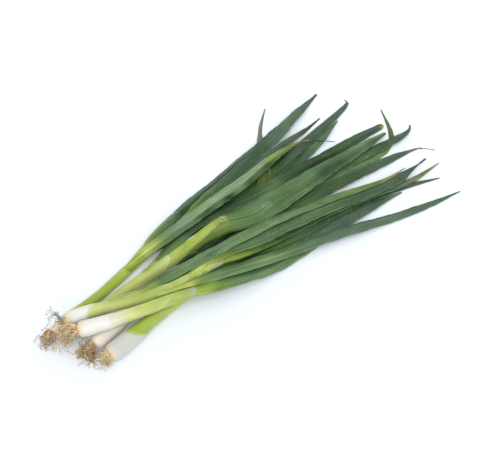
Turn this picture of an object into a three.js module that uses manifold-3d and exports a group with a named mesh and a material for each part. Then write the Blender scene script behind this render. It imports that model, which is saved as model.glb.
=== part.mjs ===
// A loose bunch of spring onions lying on a table. Millimetres, +Z up, roots towards -X, leaf tips
// towards +X. The origin is under the middle of the bunch, on the table.
import * as THREE from 'three';
import { mergeVertices } from 'three/addons/utils/BufferGeometryUtils.js';
import Module from 'manifold-3d';

const wasm = await Module();
wasm.setup();

// Driving dimensions
const CLEARANCE = 0.3; // left between pieces that touch
const TABLE_PRESS = 0.25; // how deep a lying piece would dip into the table before it is pressed flat
const CUT_DETAIL = 0.02; // edges shorter than this are closed up after a cut
const STEM_SIDES = 12;
const STEM_RINGS = 13;
const LEAF_SIDES = 8;
const LEAF_RINGS = 18;
const RING_BUNCHING = 0.45; // how much closer the rings stand at both ends than halfway, 0 for evenly
const BULB_ROUNDING = 7; // length over which the bulb swells from its root plate
const LEAF_FLATNESS = 0.34; // thickness of a leaf over its width
const LEAF_MIN_HALF_THICKNESS = 0.4;
const STEM_BEND = 700; // tightest radius, in height, of a stem lying over others
const LEAF_BEND = 220; // the same for a leaf
const BEND_SMOOTHING = 7; // length over which a bend in height is evened out
const STATION_STEP = 2.5; // spacing of the points at which heights are worked out
const ROUTE_DIVISIONS = 600; // fineness of the length measured along a route
const SEGMENT_OVERRUN = 0.3; // share of a step by which a piece's surface is still felt past its ends
const SINK = 9; // how deep a leaf's base sits in its own stem and among its plant's leaves
const EMERGE = 34; // length over which a side leaf comes out of its stem
const NEST = 60; // length over which leaves of one plant lie into each other
const SINK_FADE = 1.5; // how the sinking fades along those lengths: 1 evenly, more to end it gently
const END_FLARE = 40; // length over which the stem's round end turns into a flat leaf

const ROOT_PLATE_THICKNESS = 2.4;
const ROOT_PLATE_SHARE = 0.92; // its radius over that of the stem's root end
const ROOT_PLATE_TAPER = 0.6; // its outer radius over its inner one
const ROOT_PLATE_SIDES = 10;
const ROOT_SIDES = 3;
const ROOT_STEPS = 4;
const ROOT_RADIUS = 0.5;
const ROOT_BASE_SHARE = 1.15; // a strand's thickest radius over the one above
const ROOT_TIP_SHARE = 0.7; // and its thinnest
const ROOT_SHORTEST = 0.55; // the shortest strand over its tuft's usual length
const ROOT_LONGEST = 1.15; // and the longest
const ROOT_CURL = 0.9; // sideways turn of a strand at each step, at most half of this each way
const ROOT_CURL_TURN = 1.2; // largest turn of that curl about the tuft's axis at each step, radians
const ROOT_DROOP = 0.28; // downward turn at each step
const ROOT_FLOOR = 0.02; // lowest point of a strand
const TRIES_PER_STRAND = 40;
const STEM_END_STATIONS = 30; // stations of a stem, from its root end, that its roots could meet

// Each plant has a stem, which is its bulb and the round white and green shank of rolled sheaths, and
// leaves. A route is a list of plan points [x, y] from the root end on. Stem radii are evenly spaced from
// the root end, after the first one, which is the root plate's. Leaf widths are evenly spaced along the
// leaf. A leaf from the stem's "end" carries it on, one from its "side" comes out over it, and one from
// "under" it starts beneath the leaf that carries it on.
const plants = {
  far_onion: {
    stem: {
      route: [[-194, -3], [-179, 2], [-155, 7], [-130, 14], [-106, 22], [-81, 30], [-58, 37], [-43, 43]],
      radii: [3.6, 5.4, 4.9, 4.4, 4.5, 4.7, 4.6, 4.2],
    },
    roots: { strands: 18, length: 13, spread: 0.9, seed: 17 },
    leaves: {
      1: { from: 'side', route: [[-96, 25], [-77, 36], [-37, 51], [18, 71], [71, 84], [134, 112]],
        widths: [6, 9, 9.5, 9, 7, 1.2] },
      2: { from: 'end', route: [[-43, 43], [-17, 52], [38, 67], [87, 83], [134, 106], [171, 122]],
        widths: [8, 11, 12, 12, 9.5, 1.8] },
      3: { from: 'side', route: [[-98, 23], [-72, 27], [-24.3, 34.4], [26.5, 46.6], [80.6, 61.8],
        [111, 66], [124, 60.5], [139, 49]], widths: [8, 11.5, 12, 12.3, 12.5, 11.5, 9.5, 4.6, 1.6, 1] },
      4: { from: 'side', route: [[-64, 32], [-42, 31], [-9, 36.5], [42, 47], [94.5, 60], [137.5, 74],
        [180, 89], [188, 94], [186, 100]],
        widths: [6, 10.5, 12.5, 13.5, 14, 14, 14, 14, 13.5, 12.5, 10.5, 8.2, 6, 1] },
      5: { from: 'side', route: [[-60, 37], [-30, 40], [10, 47], [58, 62], [101, 75], [151, 90]],
        widths: [5, 7, 8, 8, 7, 1.2] },
    },
  },
  thick_onion: {
    stem: {
      route: [[-184, -15], [-168, -11], [-150, -5], [-127, 1], [-95, 6], [-62, 10], [-33, 15], [-15, 19]],
      radii: [3.8, 6, 5.4, 5.1, 5.2, 6.2, 7.5, 8],
    },
    roots: { strands: 12, length: 10, spread: 0.7, seed: 23 },
    leaves: {
      1: { from: 'side', route: [[-90, 7], [-67, 18.5], [-31, 29], [15, 31], [62, 33], [112, 39.5],
        [161, 44.5], [195, 46]], widths: [6, 9.5, 10.5, 11, 11.5, 12, 11.5, 7] },
      2: { from: 'under', route: [[-24, 16], [5, 10], [46, 11], [97, 19], [145, 21.5], [182, 21],
        [212, 25], [219, 32]], widths: [7, 9, 9.5, 9.5, 9.5, 9.5, 10, 10, 7.8, 1] },
      3: { from: 'end', route: [[-16.5, 16.5], [2.8, 13.6], [44.3, 13.2], [97, 20.8], [146, 27.5], [192, 34]],
        widths: [16.5, 21, 21.8, 19.8, 18.8, 15.6, 13, 8.8, 3] },
      4: { from: 'under', route: [[-24, 18], [0, 20], [23, 25], [45, 36.5], [62.5, 62], [76, 89], [92, 112],
        [111, 132]], widths: [6, 10, 12, 13, 9, 5.5, 3.5, 1] },
      5: { from: 'under', route: [[-24, 17], [0, 22], [23, 28], [78, 44], [116, 56], [140, 66], [162, 76]],
        widths: [5, 8, 9, 10, 9.5, 8.2, 1.2] },
    },
  },
  top_onion: {
    stem: {
      route: [[-184, -6], [-171, -7], [-150, -11], [-117, -20], [-86, -23], [-58, -22], [-38, -21]],
      radii: [3.6, 6.2, 5.7, 4.9, 4.8, 4.4, 3.6],
    },
    roots: { strands: 12, length: 10, spread: 0.8, seed: 37 },
    leaves: {
      1: { from: 'side', route: [[-124, -18], [-100, -13], [-64, -14], [-12, -12], [32, -9], [75, -11],
        [116, -16], [143, -20], [173, -17]], widths: [6, 9, 9.5, 9, 8.5, 8, 7, 4.5, 1] },
      2: { from: 'side', route: [[-62, -22], [-34, -18], [4, -19], [47, -17], [89, -20], [122, -24],
        [157, -24], [173, -21], [202, -14]],
        widths: [5, 8, 9.5, 11, 12, 12, 11.5, 11, 10.5, 10, 10, 9.8, 2.6, 2.2] },
      3: { from: 'end', route: [[-38, -21], [-20, -25], [22, -23], [78, -21], [134, -26], [167, -30],
        [212, -24]], widths: [7.2, 7, 8, 8, 7, 5.5, 1] },
      4: { from: 'side', route: [[-94, -24], [-74, -29], [-39, -37], [0, -41], [40, -43], [78, -49],
        [120, -55], [160, -61], [203, -64]], widths: [6, 9, 10.5, 11, 11, 10.5, 9, 6.5, 1] },
    },
  },
  white_onion: {
    stem: {
      route: [[-178, -21], [-166, -25], [-148, -29], [-121, -33], [-97, -36], [-79, -38]],
      radii: [4.4, 7, 6.4, 5.5, 5.1, 5],
    },
    roots: { strands: 20, length: 19, spread: 0.8, seed: 41 },
    leaves: {
      1: { from: 'end', route: [[-79, -38], [-52, -44], [-13, -46], [30, -43], [78, -38], [126, -35],
        [158, -35]], widths: [10, 11.5, 12, 12, 11.5, 9, 1.2] },
    },
  },
  hidden_onion: {
    stem: {
      route: [[-171, -34], [-160, -31], [-145, -27], [-119, -20], [-96, -14], [-73, -9], [-49, -4]],
      radii: [4.4, 7, 6.2, 5.2, 5, 5, 4.8],
    },
    roots: { strands: 24, length: 15, spread: 1.1, seed: 53 },
    leaves: {
      1: { from: 'end', route: [[-49, -4], [-22, -2], [18, 1], [63, 2.5], [110, 4], [158, 4.4],
        [193, 3.8], [208, 0.5], [219, -11]],
        widths: [9.6, 10, 10, 10, 10.2, 10.6, 11, 11, 9.8, 7.8, 2.6, 1] },
      2: { from: 'side', route: [[-68, -8], [-40, 1], [23, 8], [67, 10], [113, 12], [152, 13], [176, 17],
        [191, 25], [201, 45], [209, 67]], widths: [5, 8, 10, 10, 10, 9.5, 8, 7, 4.5, 1] },
    },
  },
  near_onion: {
    stem: {
      route: [[-165, -50], [-156, -48.5], [-139, -44], [-119, -38], [-99, -33], [-74, -28], [-52, -24]],
      radii: [5, 8.3, 7.6, 6.2, 5.8, 5.6, 5.4],
    },
    roots: { strands: 20, length: 12, spread: 0.9, seed: 67 },
    leaves: {
      1: { from: 'end', route: [[-52, -24], [-20, -24], [29, -27], [65, -27.3], [110, -26], [144, -28],
        [165, -32], [200, -41]], widths: [10.8, 11.5, 13.5, 13.5, 12, 9, 6, 1] },
    },
  },
};

// The order in which the pieces are laid down, lowest first.
const layingOrder = [
  'hidden_onion', 'near_onion', 'far_onion', 'thick_onion',
  'near_onion 1', 'hidden_onion 2', 'hidden_onion 1', 'far_onion 4', 'thick_onion 5', 'thick_onion 4',
  'far_onion 1', 'far_onion 5', 'far_onion 2', 'thick_onion 2', 'thick_onion 1', 'thick_onion 3',
  'top_onion', 'white_onion', 'white_onion 1', 'top_onion 4', 'top_onion 3', 'top_onion 2', 'top_onion 1',
  'far_onion 3',
];

const colours = {
  roots: new THREE.MeshStandardMaterial({ color: 0xb38f5f, roughness: 0.9, metalness: 0 }),
  stem: new THREE.MeshStandardMaterial({ color: 0xd3dcae, roughness: 0.5, metalness: 0 }),
  leaf: new THREE.MeshStandardMaterial({ color: 0x557a4f, roughness: 0.55, metalness: 0 }),
};

// A seeded generator of even draws between 0 and 1.
function seededDraws(seed) {
  let state = seed;
  return () => {
    state = (state * 1664525 + 1013904223) % 4294967296;
    return state / 4294967296;
  };
}

// A smooth curve through evenly spaced values, read at u from 0 to 1.
function smoothValue(values, u) {
  const place = THREE.MathUtils.clamp(u, 0, 1) * (values.length - 1);
  const i = Math.min(Math.floor(place), values.length - 2);
  const f = place - i;
  const before = values[Math.max(i - 1, 0)];
  const after = values[Math.min(i + 2, values.length - 1)];
  const slopeIn = (values[i + 1] - before) / 2;
  const slopeOut = (after - values[i]) / 2;
  const rise = values[i + 1] - values[i];
  return values[i] + f * (slopeIn + f * ((3 * rise - 2 * slopeIn - slopeOut)
    + f * (slopeIn + slopeOut - 2 * rise)));
}

// Evenly spaced stations on a plan route, each with its place, its sideways direction and its half-sizes.
function planStations(route, halfSizes) {
  const curve = new THREE.CatmullRomCurve3(route.map(([x, y]) => new THREE.Vector3(x, y, 0)), false,
    'centripetal');
  curve.arcLengthDivisions = ROUTE_DIVISIONS;
  const length = curve.getLength();
  const count = Math.ceil(length / STATION_STEP);
  return Array.from({ length: count + 1 }, (_, i) => {
    const u = i / count;
    const point = curve.getPointAt(u);
    const ahead = curve.getTangentAt(u);
    const { w, t } = halfSizes(u, u * length);
    return { x: point.x, y: point.y, z: 0, side: [-ahead.y, ahead.x], s: u * length, u, w, t };
  });
}

// Height of a laid piece's swollen upper surface over the plan point (x, y), or -Infinity beside it.
function upperSurface(piece, x, y) {
  let highest = -Infinity;
  const { stations, box } = piece;
  if (x < box.minX || x > box.maxX || y < box.minY || y > box.maxY) return highest;
  for (let i = 0; i < stations.length - 1; i += 1) {
    const a = stations[i];
    const b = stations[i + 1];
    const dx = b.x - a.x;
    const dy = b.y - a.y;
    const f = ((x - a.x) * dx + (y - a.y) * dy) / (dx * dx + dy * dy);
    if (f < -SEGMENT_OVERRUN || f > 1 + SEGMENT_OVERRUN) continue;
    const g = THREE.MathUtils.clamp(f, 0, 1);
    const away = Math.hypot(x - a.x - g * dx, y - a.y - g * dy);
    const w = a.w + g * (b.w - a.w) + CLEARANCE;
    if (away >= w) continue;
    const t = a.t + g * (b.t - a.t) + CLEARANCE;
    highest = Math.max(highest, a.z + g * (b.z - a.z) + t * Math.sqrt(1 - (away / w) ** 2));
  }
  return highest;
}

// Height that a station's centre needs, so that its oval section clears the pieces below it.
const acrossShares = [-1, -0.93, -0.8, -0.6, -0.3, 0, 0.3, 0.6, 0.8, 0.93, 1];
function clearHeight(station, pieces) {
  let needed = -Infinity;
  for (const share of acrossShares) {
    const x = station.x + station.side[0] * station.w * share;
    const y = station.y + station.side[1] * station.w * share;
    const under = Math.max(...pieces.map((piece) => upperSurface(piece, x, y)));
    needed = Math.max(needed, under + station.t * Math.sqrt(1 - share * share));
  }
  return needed;
}

// The lowest run of heights that stays over the needed ones with no bend tighter than the given radius:
// arcs over each needed point, then evened out and lifted by as much as the evening lowers an arc.
function stiffHeights(stations, needed, bend) {
  const arcs = stations.map((here) => Math.max(...stations.map((there, j) => (
    needed[j] - (here.s - there.s) ** 2 / (2 * bend)))));
  return stations.map((here) => {
    let sum = 0;
    let total = 0;
    stations.forEach((there, j) => {
      const weight = Math.exp(-0.5 * ((here.s - there.s) / BEND_SMOOTHING) ** 2);
      sum += weight * arcs[j];
      total += weight;
    });
    return sum / total + evenedLift(bend);
  });
}

function evenedLift(bend) {
  return BEND_SMOOTHING ** 2 / (2 * bend);
}

// How deep a leaf sits at the distance s from its base, when it comes out over the given length.
function sunkBy(s, length) {
  return SINK * Math.max(0, 1 - s / length) ** SINK_FADE;
}

// Lays a piece on the table and over the pieces laid before it. Near its base it may sink into its own
// stem, and into the leaves of its own plant.
function lay(piece, laid, bend) {
  const { stations } = piece;
  const flatShare = Math.cos(Math.PI / (piece.isStem ? STEM_SIDES : LEAF_SIDES));
  const others = laid.filter((other) => other.plant !== piece.plant);
  const ownStem = laid.filter((other) => other.plant === piece.plant && other.isStem);
  const ownLeaves = laid.filter((other) => other.plant === piece.plant && !other.isStem);
  const needed = stations.map((station) => {
    const table = station.t * flatShare - TABLE_PRESS - evenedLift(bend);
    const sinkInStem = piece.from === 'side' ? sunkBy(station.s, EMERGE) : Infinity;
    const sinkInLeaves = sunkBy(station.s, NEST);
    return Math.max(table, clearHeight(station, others),
      clearHeight(station, ownStem) - sinkInStem,
      clearHeight(station, ownLeaves) - sinkInLeaves);
  });
  if (piece.from === 'end') {
    const stemEnd = ownStem[0].stations.at(-1);
    needed[0] = Math.max(needed[0], stemEnd.z - evenedLift(bend));
  }
  const heights = stiffHeights(stations, needed, bend);
  stations.forEach((station, i) => { station.z = heights[i]; });
  const reach = Math.max(...stations.map((station) => station.w)) + CLEARANCE;
  const xs = stations.map((station) => station.x);
  const ys = stations.map((station) => station.y);
  piece.box = { minX: Math.min(...xs) - reach, maxX: Math.max(...xs) + reach,
    minY: Math.min(...ys) - reach, maxY: Math.max(...ys) + reach };
  laid.push(piece);
}

function stationAt(stations, u) {
  const place = u * (stations.length - 1);
  const i = Math.min(Math.floor(place), stations.length - 2);
  const f = place - i;
  const a = stations[i];
  const b = stations[i + 1];
  const mix = (key) => a[key] + f * (b[key] - a[key]);
  return { x: mix('x'), y: mix('y'), z: mix('z'), w: mix('w'), t: mix('t') };
}

// Share of a piece's length over which its direction is read, to each side of a ring.
const TANGENT_REACH = 0.01;

// A closed skin of oval rings along a piece. Each ring stands square to the piece, has a flat side down,
// and is pressed flat where it would dip into the table.
function sweptGeometry(piece, sides, rings, swell) {
  const { stations } = piece;
  const positions = [];
  const centres = [];
  for (let k = 0; k <= rings; k += 1) {
    const even = k / rings;
    const u = even - RING_BUNCHING * Math.sin(2 * Math.PI * even) / (2 * Math.PI);
    const here = stationAt(stations, u);
    const before = stationAt(stations, Math.max(u - TANGENT_REACH, 0));
    const after = stationAt(stations, Math.min(u + TANGENT_REACH, 1));
    const ahead = new THREE.Vector3(after.x - before.x, after.y - before.y, after.z - before.z).normalize();
    const side = new THREE.Vector3(-ahead.y, ahead.x, 0).normalize();
    const up = new THREE.Vector3().crossVectors(ahead, side);
    const centre = new THREE.Vector3(here.x, here.y, here.z);
    if (k === 0) centre.addScaledVector(ahead, -swell);
    if (k === rings) centre.addScaledVector(ahead, swell);
    centres.push(centre);
    for (let j = 0; j < sides; j += 1) {
      const angle = (2 * Math.PI * (j + 0.5)) / sides - Math.PI / 2;
      const point = centre.clone()
        .addScaledVector(side, Math.cos(angle) * (here.w + swell))
        .addScaledVector(up, Math.sin(angle) * (here.t + swell));
      positions.push(point.x, point.y, point.z);
    }
  }
  const first = positions.length / 3;
  const last = first + 1;
  positions.push(...centres[0].toArray(), ...centres[rings].toArray());
  if (swell === 0) {
    for (let i = 2; i < positions.length; i += 3) positions[i] = Math.max(positions[i], 0);
  }
  const index = [];
  for (let j = 0; j < sides; j += 1) {
    const next = (j + 1) % sides;
    for (let k = 0; k < rings; k += 1) {
      const a = k * sides + j;
      const b = k * sides + next;
      index.push(a, b, b + sides, a, b + sides, a + sides);
    }
    index.push(first, next, j);
    index.push(last, rings * sides + j, rings * sides + next);
  }
  const geometry = new THREE.BufferGeometry();
  geometry.setAttribute('position', new THREE.Float32BufferAttribute(positions, 3));
  geometry.setIndex(index);
  return geometry;
}

function solidOf(geometry) {
  const bare = geometry.clone();
  bare.deleteAttribute('normal');
  bare.deleteAttribute('uv');
  const merged = mergeVertices(bare, 1e-4);
  return new wasm.Manifold(new wasm.Mesh({
    numProp: 3,
    vertProperties: new Float32Array(merged.attributes.position.array),
    triVerts: new Uint32Array(merged.index.array),
  }));
}

function geometryOf(solid) {
  const mesh = solid.getMesh();
  const geometry = new THREE.BufferGeometry();
  geometry.setAttribute('position', new THREE.Float32BufferAttribute(mesh.vertProperties, 3));
  geometry.setIndex(Array.from(mesh.triVerts));
  return geometry;
}

// The largest body of a cut solid, with the cut's tiniest edges closed up.
function mainBody(solid) {
  const bodies = solid.simplify(CUT_DETAIL).decompose();
  return bodies.reduce((largest, body) => (body.volume() > largest.volume() ? body : largest));
}

// Stem sizes: the radii in turn, with a rounded root end.
function stemPiece(plantName, stem) {
  const [plate, ...radii] = stem.radii;
  const halfSizes = (u, s) => {
    const round = Math.sqrt(1 - Math.max(0, 1 - s / BULB_ROUNDING) ** 2);
    const r = plate + (smoothValue(radii, u) - plate) * round;
    return { w: r, t: r };
  };
  return { plant: plantName, name: `${plantName}_stem`, isStem: true,
    stations: planStations(stem.route, halfSizes) };
}

// Leaf sizes: the widths in turn, and a thickness that goes with them. A leaf that carries the stem on
// starts as round as the stem's end.
function leafPiece(plantName, number, leaf) {
  const halfSizes = (u, s) => {
    const w = smoothValue(leaf.widths, u) / 2;
    const roundness = leaf.from === 'end' ? Math.max(0, 1 - s / END_FLARE) ** 2 : 0;
    const flatness = LEAF_FLATNESS + (1 - LEAF_FLATNESS) * roundness;
    return { w, t: Math.max(w * flatness, Math.min(w, LEAF_MIN_HALF_THICKNESS)) };
  };
  return { plant: plantName, name: `${plantName}_leaf_${number}`, from: leaf.from,
    stations: planStations(leaf.route, halfSizes) };
}

// Lays every stem and leaf in order.
function layBunch() {
  const laid = [];
  for (const entry of layingOrder) {
    const [plantName, number] = entry.split(' ');
    const plant = plants[plantName];
    if (number) lay(leafPiece(plantName, number, plant.leaves[number]), laid, LEAF_BEND);
    else lay(stemPiece(plantName, plant.stem), laid, STEM_BEND);
  }
  return laid;
}

// A leaf's solid: its skin, cut back from its own stem and from its plant's leaves laid before it.
function leafSolid(piece, laid) {
  let solid = solidOf(sweptGeometry(piece, LEAF_SIDES, LEAF_RINGS, 0));
  for (const other of laid.slice(0, laid.indexOf(piece))) {
    if (other.plant !== piece.plant) continue;
    const sides = other.isStem ? STEM_SIDES : LEAF_SIDES;
    const rings = other.isStem ? STEM_RINGS : LEAF_RINGS;
    const swollen = solidOf(sweptGeometry(other, sides, rings, CLEARANCE));
    if (solid.intersect(swollen).volume() > 0) solid = mainBody(solid.subtract(swollen));
  }
  return solid;
}

// One root strand: points that leave the root plate, curl by seeded draws and come to rest on the table.
function rootStrand(start, away, roots, draw) {
  const step = (roots.length * THREE.MathUtils.lerp(ROOT_SHORTEST, ROOT_LONGEST, draw())) / ROOT_STEPS;
  const direction = away.clone();
  const curl = new THREE.Vector3(draw() - 0.5, draw() - 0.5, draw() - 0.5)
    .multiplyScalar(ROOT_CURL);
  const points = [start.clone()];
  for (let k = 0; k < ROOT_STEPS; k += 1) {
    direction.add(curl).add(new THREE.Vector3(0, 0, -ROOT_DROOP)).normalize();
    curl.applyAxisAngle(away, ROOT_CURL_TURN * draw());
    const next = points.at(-1).clone().addScaledVector(direction, step);
    next.z = Math.max(next.z, ROOT_RADIUS);
    points.push(next);
  }
  return points;
}

// Distance from a point to the skin of a stem, whose root end is cut square.
function gapToStem(point, stations) {
  let gap = Infinity;
  for (let i = 0; i < Math.min(stations.length, STEM_END_STATIONS) - 1; i += 1) {
    const a = stations[i];
    const b = stations[i + 1];
    const along = new THREE.Vector3(b.x - a.x, b.y - a.y, b.z - a.z);
    const length = along.length();
    along.divideScalar(length);
    const reach = new THREE.Vector3(point.x - a.x, point.y - a.y, point.z - a.z);
    const travel = reach.dot(along);
    const off = Math.sqrt(Math.max(reach.lengthSq() - travel * travel, 0));
    const beyond = Math.max(-travel, travel - length, 0);
    gap = Math.min(gap, beyond > 0 ? Math.hypot(beyond, Math.max(off - a.w, 0)) : off - Math.max(a.w, b.w));
  }
  return gap;
}

// True where a strand stays clear of every stem and of the other plants' roots.
function strandIsClear(points, stems, otherRoots) {
  const room = ROOT_RADIUS * ROOT_BASE_SHARE + CLEARANCE;
  for (let k = 1; k < points.length; k += 1) {
    for (const share of [0, 0.5, 1]) {
      const point = points[k - 1].clone().lerp(points[k], share);
      if (stems.some((stem) => gapToStem(point, stem.stations) < room)) return false;
      if (otherRoots.some((other) => point.distanceTo(other.point) < room + other.radius)) return false;
    }
  }
  return true;
}

// A thin three-sided tube through a strand's points, closed at both ends and tapering to its tip.
function strandGeometry(points) {
  const positions = [];
  const sides = ROOT_SIDES;
  points.forEach((point, k) => {
    const before = points[Math.max(k - 1, 0)];
    const after = points[Math.min(k + 1, points.length - 1)];
    const ahead = after.clone().sub(before).normalize();
    const side = new THREE.Vector3(-ahead.y, ahead.x, 0.01).normalize();
    const up = new THREE.Vector3().crossVectors(ahead, side).normalize();
    side.crossVectors(up, ahead);
    const share = THREE.MathUtils.lerp(ROOT_BASE_SHARE, ROOT_TIP_SHARE, k / (points.length - 1));
    const radius = ROOT_RADIUS * share;
    for (let j = 0; j < sides; j += 1) {
      const angle = (2 * Math.PI * j) / sides + Math.PI / 2;
      const corner = point.clone().addScaledVector(side, Math.cos(angle) * radius)
        .addScaledVector(up, Math.sin(angle) * radius);
      positions.push(corner.x, corner.y, Math.max(corner.z, ROOT_FLOOR));
    }
  });
  const rings = points.length - 1;
  const index = [0, 2, 1, rings * sides, rings * sides + 1, rings * sides + 2];
  for (let k = 0; k < rings; k += 1) {
    for (let j = 0; j < sides; j += 1) {
      const a = k * sides + j;
      const b = k * sides + ((j + 1) % sides);
      index.push(a, b, b + sides, a, b + sides, a + sides);
    }
  }
  const geometry = new THREE.BufferGeometry();
  geometry.setAttribute('position', new THREE.Float32BufferAttribute(positions, 3));
  geometry.setIndex(index);
  return geometry;
}

// The root tuft of one plant: a round plate behind the bulb, with strands fused into it.
function rootTuft(plantName, laid, placedRoots) {
  const { roots } = plants[plantName];
  const own = laid.find((piece) => piece.plant === plantName && piece.isStem);
  const stems = laid.filter((piece) => piece.isStem);
  const [first, second] = own.stations;
  const away = new THREE.Vector3(first.x - second.x, first.y - second.y, first.z - second.z).normalize();
  const plateRadius = first.w * ROOT_PLATE_SHARE;
  const outerRadius = plateRadius * ROOT_PLATE_TAPER;
  const plate = new THREE.CylinderGeometry(plateRadius, outerRadius, ROOT_PLATE_THICKNESS, ROOT_PLATE_SIDES);
  plate.translate(0, -ROOT_PLATE_THICKNESS / 2 - CLEARANCE, 0);
  plate.applyQuaternion(new THREE.Quaternion().setFromUnitVectors(new THREE.Vector3(0, -1, 0), away));
  plate.translate(first.x, first.y, first.z);
  let tuft = solidOf(plate);
  const draw = seededDraws(roots.seed);
  const side = new THREE.Vector3(-away.y, away.x, 0).normalize();
  const up = new THREE.Vector3().crossVectors(away, side);
  const heart = new THREE.Vector3(first.x, first.y, first.z)
    .addScaledVector(away, CLEARANCE + ROOT_PLATE_THICKNESS / 2);
  const others = placedRoots.filter((root) => root.plant !== plantName);
  let placed = 0;
  for (let attempt = 0; placed < roots.strands && attempt < TRIES_PER_STRAND * roots.strands; attempt += 1) {
    const angle = 2 * Math.PI * draw();
    const out = Math.sqrt(draw());
    const across = side.clone().multiplyScalar(Math.cos(angle)).addScaledVector(up, Math.sin(angle));
    const start = heart.clone().addScaledVector(across, out * outerRadius);
    const heading = away.clone().addScaledVector(across, out * roots.spread).normalize();
    const points = rootStrand(start, heading, roots, draw);
    if (!strandIsClear(points, stems, others)) continue;
    const strand = solidOf(strandGeometry(points));
    if (strand.volume() <= 0) continue;
    tuft = tuft.add(strand);
    points.forEach((point, k) => {
      placedRoots.push({ plant: plantName, point, radius: ROOT_RADIUS });
      if (k > 0) {
        placedRoots.push({ plant: plantName, point: point.clone().lerp(points[k - 1], 0.5),
          radius: ROOT_RADIUS });
      }
    });
    placed += 1;
  }
  placedRoots.push({ plant: plantName, point: heart, radius: plateRadius });
  return mainBody(tuft);
}

function meshOf(name, solidOrGeometry, material) {
  const geometry = solidOrGeometry.isBufferGeometry ? solidOrGeometry : geometryOf(solidOrGeometry);
  const mesh = new THREE.Mesh(geometry, material);
  mesh.name = name;
  return mesh;
}

function buildBunch() {
  const bunch = new THREE.Group();
  const laid = layBunch();
  for (const piece of laid) {
    if (piece.isStem) {
      bunch.add(meshOf(piece.name, sweptGeometry(piece, STEM_SIDES, STEM_RINGS, 0), colours.stem));
    } else {
      bunch.add(meshOf(piece.name, leafSolid(piece, laid), colours.leaf));
    }
  }
  const placedRoots = [];
  for (const plantName of Object.keys(plants)) {
    bunch.add(meshOf(`${plantName}_roots`, rootTuft(plantName, laid, placedRoots), colours.roots));
  }
  const box = new THREE.Box3().setFromObject(bunch);
  bunch.position.set(-(box.min.x + box.max.x) / 2, -(box.min.y + box.max.y) / 2, 0);
  return bunch;
}

const group = buildBunch();

export default group;
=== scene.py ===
import functools
import math

import bpy
import numpy as np
from bpy.props import FloatProperty, FloatVectorProperty, IntProperty, PointerProperty
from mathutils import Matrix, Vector


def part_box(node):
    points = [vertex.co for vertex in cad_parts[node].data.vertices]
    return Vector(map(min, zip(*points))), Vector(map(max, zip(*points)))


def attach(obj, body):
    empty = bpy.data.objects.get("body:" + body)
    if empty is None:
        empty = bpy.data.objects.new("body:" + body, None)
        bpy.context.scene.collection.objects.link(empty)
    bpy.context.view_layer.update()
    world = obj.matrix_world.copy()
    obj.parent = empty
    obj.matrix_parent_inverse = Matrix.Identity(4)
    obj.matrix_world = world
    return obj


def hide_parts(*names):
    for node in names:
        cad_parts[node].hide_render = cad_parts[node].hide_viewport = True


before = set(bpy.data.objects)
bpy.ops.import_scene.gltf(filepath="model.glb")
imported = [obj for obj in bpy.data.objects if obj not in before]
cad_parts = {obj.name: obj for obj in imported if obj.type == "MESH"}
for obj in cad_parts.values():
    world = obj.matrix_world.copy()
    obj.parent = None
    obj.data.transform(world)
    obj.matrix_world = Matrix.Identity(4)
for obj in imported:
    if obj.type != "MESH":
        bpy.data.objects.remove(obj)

bl_info = {
    "name": "Spring onion bunch",
    "version": (1, 0, 0),
    "blender": (4, 5, 0),
    "location": "3D View > Sidebar > Spring onions",
    "description": "Skins, leaf blades and root tufts for a bunch of spring onions lying on a table",
    "category": "Object",
}

BODY = "root"
MM = 0.001
TURN = 2 * math.pi

# The bunch, as the frame names it.
PLANTS = ("far_onion", "thick_onion", "top_onion", "white_onion", "hidden_onion", "near_onion")
STEM_SIDES = 12  # corners of a stem's section in the frame
LEAF_SIDES = 8  # and of a leaf's


FULL_LIGHT = 1.3  # how bright a white card would be, lying on the table in the stage's light


def tint(red, green, blue):
    """A colour as it looks on a screen in the stage's full light, 0 to 255, turned into the share of light
    that the skin gives back."""
    shown = np.array([red, green, blue]) / 255
    linear = np.where(shown <= 0.04045, shown / 12.92, ((shown + 0.055) / 1.055) ** 2.4)
    return tuple(linear / FULL_LIGHT)


# Colours of the skins, by plain names.
PALETTE = {
    "white": tint(248, 246, 240),
    "grey_white": tint(218, 220, 211),
    "pink_white": tint(255, 247, 234),
    "cream": tint(240, 234, 206),
    "collar": tint(222, 228, 184),
    "pale_lime": tint(216, 221, 150),
    "soft_lime": tint(198, 209, 120),
    "lime": tint(182, 199, 98),
    "bright_lime": tint(172, 194, 80),
    "deep_lime": tint(150, 178, 70),
    "yellow_green": tint(144, 168, 78),
    "moss": tint(118, 146, 66),
    "grass": tint(92, 128, 50),
    "dark_grass": tint(72, 108, 40),
    "leek": tint(97, 129, 74),
    "green": tint(84, 115, 67),
    "deep": tint(65, 95, 54),
    "dark": tint(54, 82, 46),
    # Painted shadow: a near-black green laid on leaf bases that lie in deep shade under and between the
    # others.
    "shadow_green": tint(42, 70, 32),
    "slate_green": tint(76, 100, 78),
    "grey_green": tint(90, 114, 88),
    "dusk_green": tint(68, 90, 71),
    "sage_green": tint(112, 142, 90),
    "sage": tint(128, 156, 108),
    "pale_sage": tint(142, 168, 122),
    "blue_bloom": tint(140, 168, 140),
    "olive_green": tint(100, 122, 56),
    "olive": tint(130, 132, 62),
    "khaki": tint(128, 138, 104),
    "yellow_olive": tint(164, 164, 74),
    "olive_tan": tint(146, 144, 82),
    "straw": tint(244, 212, 150),
    "tan": tint(230, 184, 120),
    "brown": tint(172, 124, 82),
    "dark_stalk": tint(86, 92, 62),
    "grey_tip": tint(108, 104, 98),
    "umber": tint(204, 160, 112),
    "flax": tint(255, 238, 196),
    "honey": tint(252, 210, 156),
    "peach": tint(255, 228, 192),
    "hair": tint(172, 164, 154),
    # rim: the colour of the painted highlight along the leaves' edges; the leaves' own pale wax specks take
    # it too.
    "rim": tint(176, 196, 160),
}
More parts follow.
